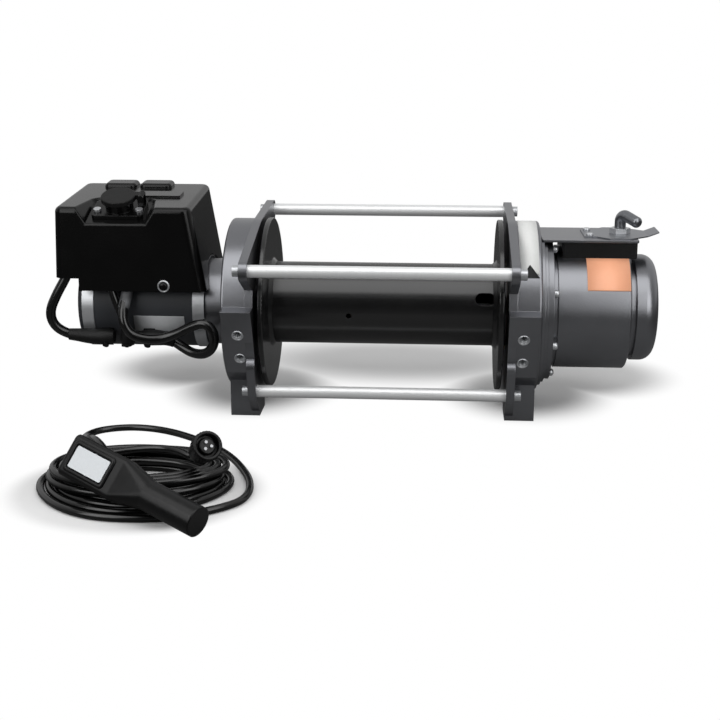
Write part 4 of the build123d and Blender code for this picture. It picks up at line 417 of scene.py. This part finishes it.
# Control pack cover, socket, contactors and motor terminals: black glass-filled nylon mouldings
# with a fine spark-eroded grain, drawn coarser than life so that it shows.
nylon, tree, place = start_material("black moulded nylon")
spark = add_node(tree, "ShaderNodeTexNoise", {"Vector": place, "Scale": 1000 / 1.0, "Detail": 3.0})
drift = add_node(tree, "ShaderNodeTexNoise", {"Vector": place, "Scale": 1000 / 35.0, "Detail": 2.0})
shade = add_node(tree, "ShaderNodeMix",
                 {"Factor": drift.outputs["Fac"], "A": linear("#040404"), "B": linear("#080808")}, data_type="RGBA")
gloss = add_node(tree, "ShaderNodeMapRange", {"Value": drift.outputs["Fac"], "To Min": 0.16, "To Max": 0.23})
soft_edge = add_node(tree, "ShaderNodeBevel", {"Radius": 0.0015}, samples=4)
bump = add_node(tree, "ShaderNodeBump", {"Height": spark.outputs["Fac"], "Strength": 0.05, "Distance": 0.0003,
                                         "Normal": soft_edge.outputs["Normal"]})
body = add_node(tree, "ShaderNodeBsdfPrincipled",
                {"Base Color": shade.outputs["Result"], "Roughness": gloss.outputs["Result"],
                 "Normal": bump.outputs["Normal"], "IOR": 1.53, "Specular IOR Level": 0.24})
add_node(tree, "ShaderNodeOutputMaterial", {"Surface": body.outputs[0]})
coat(nylon, "pack_cover", "contactors", "socket_body", "motor_terminals")

# Cup washers and caps on the pack's side screws, and the drain stub under the motor:
# the washers are pressed from plated steel, the caps and the stub are moulded.
PACK_SCREW_X = -263.0
PACK_SCREW_Y = 75.0
PACK_SCREW_Z = 166.0
DRAIN_PLACE = (-334.0, 0.0, 75.0)
WASHER = [(0.0, 5.0), (0.0, 7.4), (0.6, 7.6), (1.3, 7.3), (1.9, 6.4), (1.6, 5.6), (0.9, 5.0), (0.0, 5.0)]
SCREW_CAP = [(0.3, 4.8), (2.2, 4.9), (3.1, 4.6), (3.8, 3.7), (4.1, 2.2), (4.2, 0.6)]
DRAIN_STUB = [(-1.5, 4.4), (0.0, 4.4), (0.6, 3.6), (4.4, 3.6), (4.9, 3.2), (5.0, 1.5)]
screw_faces = [((PACK_SCREW_X, side * PACK_SCREW_Y, PACK_SCREW_Z), (0, side, 0)) for side in (-1, 1)]
turned("pack_screw_washers", [(WASHER, foot, facing) for foot, facing in screw_faces], zinc)
turned("pack_screw_caps", [(SCREW_CAP, foot, facing) for foot, facing in screw_faces], nylon)
turned("motor_drain_stub", [(DRAIN_STUB, DRAIN_PLACE, (0, 0, -1))], nylon)

# Socket cap and handset gland: black moulded rubber. The cap hangs on a hinge beside the socket.
# The rubber is dull with a slight bloom.
rubber, tree, place = start_material("black moulded rubber")
bloom = add_node(tree, "ShaderNodeTexNoise", {"Vector": place, "Scale": 1000 / 6.0, "Detail": 4.0})
shade = add_node(tree, "ShaderNodeMix",
                 {"Factor": bloom.outputs["Fac"], "A": linear("#0b0b0b"), "B": linear("#131313")}, data_type="RGBA")
gloss = add_node(tree, "ShaderNodeMapRange", {"Value": bloom.outputs["Fac"], "To Min": 0.42, "To Max": 0.58})
soft_edge = add_node(tree, "ShaderNodeBevel", {"Radius": 0.0008}, samples=4)
body = add_node(tree, "ShaderNodeBsdfPrincipled",
                {"Base Color": shade.outputs["Result"], "Roughness": gloss.outputs["Result"],
                 "Normal": soft_edge.outputs["Normal"], "IOR": 1.52, "Specular IOR Level": 0.25})
add_node(tree, "ShaderNodeOutputMaterial", {"Surface": body.outputs[0]})
coat(rubber, "socket_cap", "handset_gland")

# Handset shell and plug: black ABS mouldings with a soft sheen and rounded edges,
# and light scuffs from handling.
black_abs, tree, place = start_material("black moulded ABS")
scuffs = add_node(tree, "ShaderNodeTexNoise", {"Vector": place, "Scale": 1000 / 7.0, "Detail": 5.0})
shade = add_node(tree, "ShaderNodeMix",
                 {"Factor": scuffs.outputs["Fac"], "A": linear("#050505"), "B": linear("#0a0a0b")}, data_type="RGBA")
gloss = add_node(tree, "ShaderNodeMapRange", {"Value": scuffs.outputs["Fac"], "To Min": 0.24, "To Max": 0.4})
soft_edge = add_node(tree, "ShaderNodeBevel", {"Radius": 0.003}, samples=8)
body = add_node(tree, "ShaderNodeBsdfPrincipled",
                {"Base Color": shade.outputs["Result"], "Roughness": gloss.outputs["Result"],
                 "Normal": soft_edge.outputs["Normal"], "IOR": 1.53, "Specular IOR Level": 0.25})
add_node(tree, "ShaderNodeOutputMaterial", {"Surface": body.outputs[0]})
coat(black_abs, "handset_shell", "plug_body")

# Rocker frame: a raised rim round the rocker, moulded with the flat face of the handset's head
# and in the same black ABS.
HANDLE_END = Vector((-156.0, -437.5, 15.4))
HEAD_END = Vector((-299.3, -355.3, 49.9))
HANDSET_ROLL = radians(55.0)
HEAD_T = 25.0
ROCKER_FROM_END = 33.0
FRAME_OPENING = (47.0, 25.8)
FRAME_WIDTH = 4.0
FRAME_HEIGHT = 2.2
FRAME_SECTION = [(0, -0.6, 1.6), (0, 1.6, 1.6), (0.6, FRAME_HEIGHT, 2.0), (2.6, FRAME_HEIGHT, 3.2), (3.4, 1.7, 3.8),
                 (FRAME_WIDTH, 0, 4.2), (FRAME_WIDTH, -0.6, 4.2), (0, -0.6, 1.6)]
CORNER_STEPS = 6

grip_axis = (HEAD_END - HANDLE_END).normalized()
level_side = Vector((0, 0, 1)).cross(grip_axis).normalized()
face_normal = grip_axis.cross(level_side) * cos(HANDSET_ROLL) + level_side * sin(HANDSET_ROLL)
face_side = face_normal.cross(grip_axis)
rocker_middle = HEAD_END - grip_axis * ROCKER_FROM_END + face_normal * HEAD_T / 2


def rim_loop(out, height, corner):
    """Rounded rectangle round the rocker, this far outside the opening and above the face."""
    points = []
    for quarter, (lx, ly) in enumerate(((1, 1), (-1, 1), (-1, -1), (1, -1))):
        for step in range(CORNER_STEPS + 1):
            angle = pi / 2 * (quarter + step / CORNER_STEPS)
            x = lx * (FRAME_OPENING[0] / 2 + out - corner) + corner * cos(angle)
            y = ly * (FRAME_OPENING[1] / 2 + out - corner) + corner * sin(angle)
            points.append(rocker_middle + grip_axis * x + face_side * y + face_normal * height)
    return points


vertices, faces = [], []
for out, height, corner in FRAME_SECTION:
    vertices += rim_loop(out, height, corner)
count = 4 * (CORNER_STEPS + 1)
for ring in range(len(vertices) // count - 1):
    for step in range(count):
        low, high = ring * count, (ring + 1) * count
        faces.append((low + step, high + step, high + (step + 1) % count, low + (step + 1) % count))
place_mesh("rocker_frame", vertices, faces, black_abs)

# Handset rocker: pale grey ABS, moulded, and sprung to its middle in the handset.
# Its fine matt stipple is drawn coarser than life so that it shows.
pale_abs, tree, place = start_material("pale grey moulded ABS")
stipple = add_node(tree, "ShaderNodeTexNoise", {"Vector": place, "Scale": 1000 / 1.6, "Detail": 3.0})
shade = add_node(tree, "ShaderNodeMix",
                 {"Factor": stipple.outputs["Fac"], "A": linear("#d0d4d7"), "B": linear("#dadee1")},
                 data_type="RGBA")
bump = add_node(tree, "ShaderNodeBump", {"Height": stipple.outputs["Fac"], "Strength": 0.15, "Distance": 0.0002})
body = add_node(tree, "ShaderNodeBsdfPrincipled",
                {"Base Color": shade.outputs["Result"], "Roughness": 0.5, "Normal": bump.outputs["Normal"],
                 "IOR": 1.53})
add_node(tree, "ShaderNodeOutputMaterial", {"Surface": body.outputs[0]})
coat(pale_abs, "handset_rocker")

# Remote cord: round black cable in a smooth rubber sheath. From the handset it swings round behind the coil,
# lies in three layers of turns wound clockwise, and crosses them to the plug. Lengths are in millimetres.
CORD_D = 8.0
GLAND_TIP = (-278.46, -342.23, 31.95)
LOOSE_CORD = [GLAND_TIP, (-274.18, -331.47, 24.09), (-273, -316, 20), (-277, -299, 25), (-287, -282, 31.3),
              (-299, -264, 33.4), (-310, -246, 31), (-320, -227, 22.5), (-329, -206, 12.5), (-338, -184, 6),
              (-343, -162, 4), (-334, -143, 4), (-316, -132, 4), (-293, -127, 4), (-268, -131, 4),
              (-243, -142, 4), (-219, -159, 4), (-196, -179, 4), (-174, -203, 4), (-156, -230, 4),
              (-142, -258, 4), (-131, -285, 4), (-125, -311, 4), (-124, -334, 4), (-129, -354, 4),
              (-142, -369, 4), (-160, -383, 4), (-182, -397, 4), (-208, -405, 4)]
COIL_CENTRE = (-246.0, -305.0)
COIL_HALF_X = 106.0
COIL_HALF_Y = 76.0
COIL_PITCH = 9.3
COIL_LAYER = 8.7
COIL_FIRST_TURNS = 4.25
COIL_SECOND_TURNS = 3.25
COIL_THIRD_TURNS = 3.0
COIL_CLIMB_TURNS = 0.5
COIL_TAIL_CLIMB = 0.15
COIL_LEAN = 10.0
COIL_LEAN_ANGLE = radians(-50.0)
COIL_SPREAD = 25.0
POINTS_PER_TURN = 24
PLUG_TAIL = [(-230, -267.9, 28.4), (-215.3, -273.6, 29.4), (-202.7, -282.9, 30.0), (-192.5, -294.2, 29.9),
             (-186.4, -305.3, 32.1), (-181.3, -314.4, 38.1)]


def ramp(share):
    """Smooth climb from 0 to 1."""
    return (1 - cos(pi * min(max(share, 0), 1))) / 2


def coil_point(turns):
    """Centre of the cord after a number of turns of the coil: in on the floor, where it spreads to the front,
    out on top, and in again, leaning back over the hole in the middle."""
    second = turns - COIL_FIRST_TURNS
    third = second - COIL_SECOND_TURNS
    drawn_in = COIL_PITCH * (COIL_FIRST_TURNS - abs(second) + 2 * max(third, 0))
    climbed = sum(ramp(layer / COIL_CLIMB_TURNS + 0.5) for layer in (second, third))
    tail = 2 * (third - COIL_THIRD_TURNS + COIL_TAIL_CLIMB) / COIL_CLIMB_TURNS
    angle = -pi / 2 - 2 * pi * turns
    lean = COIL_LEAN * ramp(third + 0.5) * max(cos(angle - COIL_LEAN_ANGLE), 0) ** 2
    spread = COIL_SPREAD * max(1 - turns / COIL_FIRST_TURNS, 0) * max(-sin(angle), 0) ** 2
    return (COIL_CENTRE[0] + (COIL_HALF_X - drawn_in) * cos(angle),
            COIL_CENTRE[1] + (COIL_HALF_Y - drawn_in) * sin(angle) + lean - spread,
            CORD_D / 2 + COIL_LAYER * (climbed + ramp(tail)))


def run_cable(name, radius_mm, routes):
    """Curve with one smooth spline for each route, a list of (x, y, z) or (x, y, z, radius) in millimetres."""
    data = bpy.data.curves.new(name, "CURVE")
    data.dimensions = "3D"
    data.bevel_depth = 1.0
    data.bevel_resolution = 6
    data.resolution_u = 8
    data.use_fill_caps = True
    for route in routes:
        spline = data.splines.new("NURBS")
        spline.points.add(len(route) - 1)
        for point, place in zip(spline.points, route):
            point.co = (place[0] / 1000, place[1] / 1000, place[2] / 1000, 1.0)
            point.radius = (place[3] if len(place) > 3 else radius_mm) / 1000
        spline.order_u = 3
        spline.use_endpoint_u = True
    piece = bpy.data.objects.new(name, data)
    bpy.context.scene.collection.objects.link(piece)
    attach(piece, "frame")
    return piece


sheath, tree, place = start_material("black rubber cable sheath")
handling = add_node(tree, "ShaderNodeTexNoise", {"Vector": place, "Scale": 1000 / 9.0, "Detail": 4.0})
shade = add_node(tree, "ShaderNodeMix",
                 {"Factor": handling.outputs["Fac"], "A": linear("#050505"), "B": linear("#0a0a0a")},
                 data_type="RGBA")
gloss = add_node(tree, "ShaderNodeMapRange", {"Value": handling.outputs["Fac"], "To Min": 0.16, "To Max": 0.28})
fine = add_node(tree, "ShaderNodeTexNoise", {"Vector": place, "Scale": 1000 / 1.5, "Detail": 2.0})
bump = add_node(tree, "ShaderNodeBump", {"Height": fine.outputs["Fac"], "Strength": 0.08, "Distance": 0.0003})
body = add_node(tree, "ShaderNodeBsdfPrincipled",
                {"Base Color": shade.outputs["Result"], "Roughness": gloss.outputs["Result"],
                 "Normal": bump.outputs["Normal"], "IOR": 1.52, "Specular IOR Level": 0.55})
add_node(tree, "ShaderNodeOutputMaterial", {"Surface": body.outputs[0]})

coil_steps = int((COIL_FIRST_TURNS + COIL_SECOND_TURNS + COIL_THIRD_TURNS) * POINTS_PER_TURN)
turns_of_cord = [coil_point(step / POINTS_PER_TURN) for step in range(coil_steps + 1)]
remote_cable = run_cable("remote_cable", CORD_D / 2, [LOOSE_CORD + turns_of_cord + PLUG_TAIL])
remote_cable.data.materials.append(sheath)
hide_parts("remote_cord", "remote_coil")

# Plug's coupling ring and pins: knurls round the plug's end and keys inside its mouth, moulded in black ABS,
# and machined steel pins.
PLUG_REAR = Vector(PLUG_TAIL[-1])
PLUG_HEADING = radians(-61.0)
PLUG_TILT = radians(30.0)
RING_FROM_REAR = 35.5
RING_LENGTH = 12.0
RING_R = 15.0
MOUTH_R = 12.0
KNURLS = 30
KNURL_HALF_ANGLE = 0.055
KEYS = 5
KEY_HALF_ANGLE = 0.16
KEY_TURN = 0.4
KEY_START = 5.5

plug_axis = Vector((cos(PLUG_HEADING) * cos(PLUG_TILT), sin(PLUG_HEADING) * cos(PLUG_TILT), sin(PLUG_TILT)))
lie = plug_axis.to_track_quat("Z", "Y").to_matrix()
vertices, faces = [], []
ridges = [(RING_R - 0.3, RING_R + 0.7, 2 * pi * knurl / KNURLS, KNURL_HALF_ANGLE, 0.0, RING_LENGTH)
          for knurl in range(KNURLS)]
ridges += [(MOUTH_R + 0.3, MOUTH_R - 1.5, 2 * pi * key / KEYS + KEY_TURN, KEY_HALF_ANGLE, KEY_START, RING_LENGTH)
           for key in range(KEYS)]
for root, crest, middle, half, start, end in ridges:
    first = len(vertices)
    for height, drop in ((start, 0.7), (start + 0.8, 1.0), (end - 0.8, 1.0), (end, 0.7)):
        for turn, rise in ((-1, 0), (-0.6, 0.8), (0, 1), (0.6, 0.8), (1, 0)):
            r = root + (crest - root) * rise * drop
            angle = middle + half * turn
            place = lie @ Vector((r * cos(angle), r * sin(angle), height))
            vertices.append(PLUG_REAR + plug_axis * RING_FROM_REAR + place)
    for ring in range(3):
        for step in range(4):
            low = first + ring * 5 + step
            faces.append((low, low + 1, low + 6, low + 5) if crest > root else (low, low + 5, low + 6, low + 1))
    for low in (first, first + 15):
        faces.append(tuple(low + step for step in range(5)))
plug_ring = place_mesh("plug_ring", vertices, faces, black_abs)
coat(steel, "plug_pins")

# Motor leads: two thick welding-type cables and a thinner sleeved one, from the contactors in the pack to the
# motor terminals. The right-hand lead has a slack loop beside the drum support. Heights are above the floor.
LEAD_D = 12.0
SLEEVE_D = 9.0
LEFT_LEAD = [(-346, -17, 216), (-346, -34, 216), (-359, -52, 213), (-376, -61, 197), (-385, -63.5, 174),
             (-398, -66, 152), (-408, -66, 130), (-404, -64, 112), (-388, -58, 100), (-367, -54.1, 96.9),
             (-347, -54.1, 96.9)]
SLEEVED_LEAD = [(-333, -17, 210), (-333, -32, 210), (-333, -48, 205), (-333, -60, 192), (-332.5, -65, 174),
                (-329, -66, 156), (-322, -67.5, 137), (-314, -68.3, 118.7), (-314, -58.5, 103.6)]
RIGHT_LEAD = [(-305, -17, 216), (-305, -33, 216), (-306, -51, 209), (-308, -61, 192), (-309, -63.5, 172),
              (-311, -64, 154), (-314, -77, 137), (-312, -83, 120), (-303, -82, 106), (-286, -78, 100),
              (-269, -75, 100), (-249, -75, 107), (-229, -78, 118), (-213, -81, 123), (-202, -82, 113),
              (-202, -80, 95), (-213, -75, 82), (-231, -67, 80), (-248, -60, 88), (-263, -54.1, 96.9),
              (-281, -54.1, 96.9)]
thin_lead = [point + (SLEEVE_D / 2,) for point in SLEEVED_LEAD]
lead_cables = run_cable("lead_cables", LEAD_D / 2, [LEFT_LEAD, thin_lead, RIGHT_LEAD])
lead_cables.data.materials.append(sheath)
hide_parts("motor_leads")

# Lead sleeve: grey woven glass sleeving, pushed up the right-hand lead from its first bend to the pack.
# The weave shows as fine bands.
SLEEVE = [(-306.6, -54.5, 204, 6.9), (-308.2, -61.2, 190, 6.9), (-309, -63.5, 172, 6.9),
          (-310.6, -64, 157, 6.9), (-312.2, -69, 146, 6.9), (-313.4, -75, 137.5, 6.6)]
sleeving, tree, place = start_material("grey woven glass sleeving")
weave = add_node(tree, "ShaderNodeTexWave", {"Vector": place, "Scale": 1000 / (2.2 * 20), "Distortion": 3.0,
                                             "Detail": 2.0}, bands_direction="Z")
shade = add_node(tree, "ShaderNodeMix",
                 {"Factor": weave.outputs["Fac"], "A": linear("#3f4042"), "B": linear("#595a5d")}, data_type="RGBA")
bump = add_node(tree, "ShaderNodeBump", {"Height": weave.outputs["Fac"], "Strength": 0.3, "Distance": 0.0005})
body = add_node(tree, "ShaderNodeBsdfPrincipled",
                {"Base Color": shade.outputs["Result"], "Roughness": 0.6, "Normal": bump.outputs["Normal"],
                 "IOR": 1.5})
add_node(tree, "ShaderNodeOutputMaterial", {"Surface": body.outputs[0]})
lead_sleeve = run_cable("lead_sleeve", 6.9, [SLEEVE])
lead_sleeve.data.materials.append(sleeving)

# Terminal boots: soft covers moulded in black rubber, pushed over the cable ends
# and the motor terminals.
LEFT_BOOT = [(-387, -58, 100.2, 7.2), (-377, -57.5, 99.5, 8), (-363, -58.5, 98.5, 9.6),
             (-349, -59.5, 98.3, 10.2), (-337, -59.5, 98.3, 10.2), (-330, -59.5, 98.3, 8)]
MIDDLE_BOOT = [(-314, -67.2, 117, 5.4), (-314, -63.5, 107, 6.5), (-314, -61, 99, 8.6),
               (-314, -59.5, 92, 8.6), (-314, -58.5, 88, 6.5)]
RIGHT_BOOT = [(-255, -58, 92.5, 7.2), (-264, -56.5, 96, 8.2), (-276, -58.5, 97.5, 9.6),
              (-288, -59.5, 98, 10.2), (-297, -59.5, 98, 8)]
terminal_boots = run_cable("terminal_boots", 1.0, [LEFT_BOOT, MIDDLE_BOOT, RIGHT_BOOT])
terminal_boots.data.materials.append(rubber)


# Motor plate, the two vinyl labels and a black triangle on the gear-end support: blank thin sheets laid round
# the motor, the gear housing and its support. The labels are vinyl film and the plate is thin foil, stuck on.
def wrap_sheet(name, material, radius, thickness, left, right, angle_from, angle_to):
    """Thin sheet bent round the drum axis; angles are in degrees from the rear over the top to the front.
    left and right give the sheet's edges along the axis at the first and the last angle."""
    steps = 32
    vertices = []
    for step in range(steps + 1):
        share = step / steps
        angle = radians(angle_from + (angle_to - angle_from) * share)
        for first, last in (left, right):
            vertices.append((first + (last - first) * share, (radius + thickness) * cos(angle),
                             AXIS_HEIGHT + (radius + thickness) * sin(angle)))
    faces = [(2 * step, 2 * step + 1, 2 * step + 3, 2 * step + 2) for step in range(steps)]
    piece = place_mesh(name, vertices, faces, material)
    solid = piece.modifiers.new("thickness", "SOLIDIFY")
    solid.thickness = thickness / 1000
    return piece


def vinyl(name, hex_low, hex_high):
    """Printed vinyl film in one plain colour, with a faint mottle and a satin face."""
    film, tree, place = start_material(name)
    mottle = add_node(tree, "ShaderNodeTexNoise", {"Vector": place, "Scale": 1000 / 5.0, "Detail": 3.0})
    shade = add_node(tree, "ShaderNodeMix",
                     {"Factor": mottle.outputs["Fac"], "A": linear(hex_low), "B": linear(hex_high)},
                     data_type="RGBA")
    body = add_node(tree, "ShaderNodeBsdfPrincipled",
                    {"Base Color": shade.outputs["Result"], "Roughness": 0.4, "IOR": 1.5})
    add_node(tree, "ShaderNodeOutputMaterial", {"Surface": body.outputs[0]})
    return film


GEAR_CASE_R = 76.0
HOUSING_R = 105.0
MOTOR_R = 57.0
FILM_T = 0.25
FOIL_T = 0.3
TRIANGLE_R = 105.3

wrap_sheet("gear_label", vinyl("orange vinyl film", "#fcb28b", "#ffb891"), GEAR_CASE_R, FILM_T,
           (245, 245), (296, 296), 114, 153.3)
wrap_sheet("support_label", vinyl("white vinyl film", "#dedfdd", "#e6e7e5"), HOUSING_R, FILM_T,
           (163, 163), (186, 186), 86, 147.3)
# Black triangle: a blank black sheet on the gear-end support, beside the front tie rod's end.
wrap_sheet("black_triangle", vinyl("flat black film", "#131314", "#1a1a1b"), TRIANGLE_R, FILM_T,
           (175, 165), (175, 186.5), 140.4, 149.5)
wrap_sheet("motor_plate", vinyl("pale printed foil", "#b4b6b8", "#c0c2c4"), MOTOR_R, FOIL_T,
           (-306, -306), (-243, -243), 187.5, 209.5)
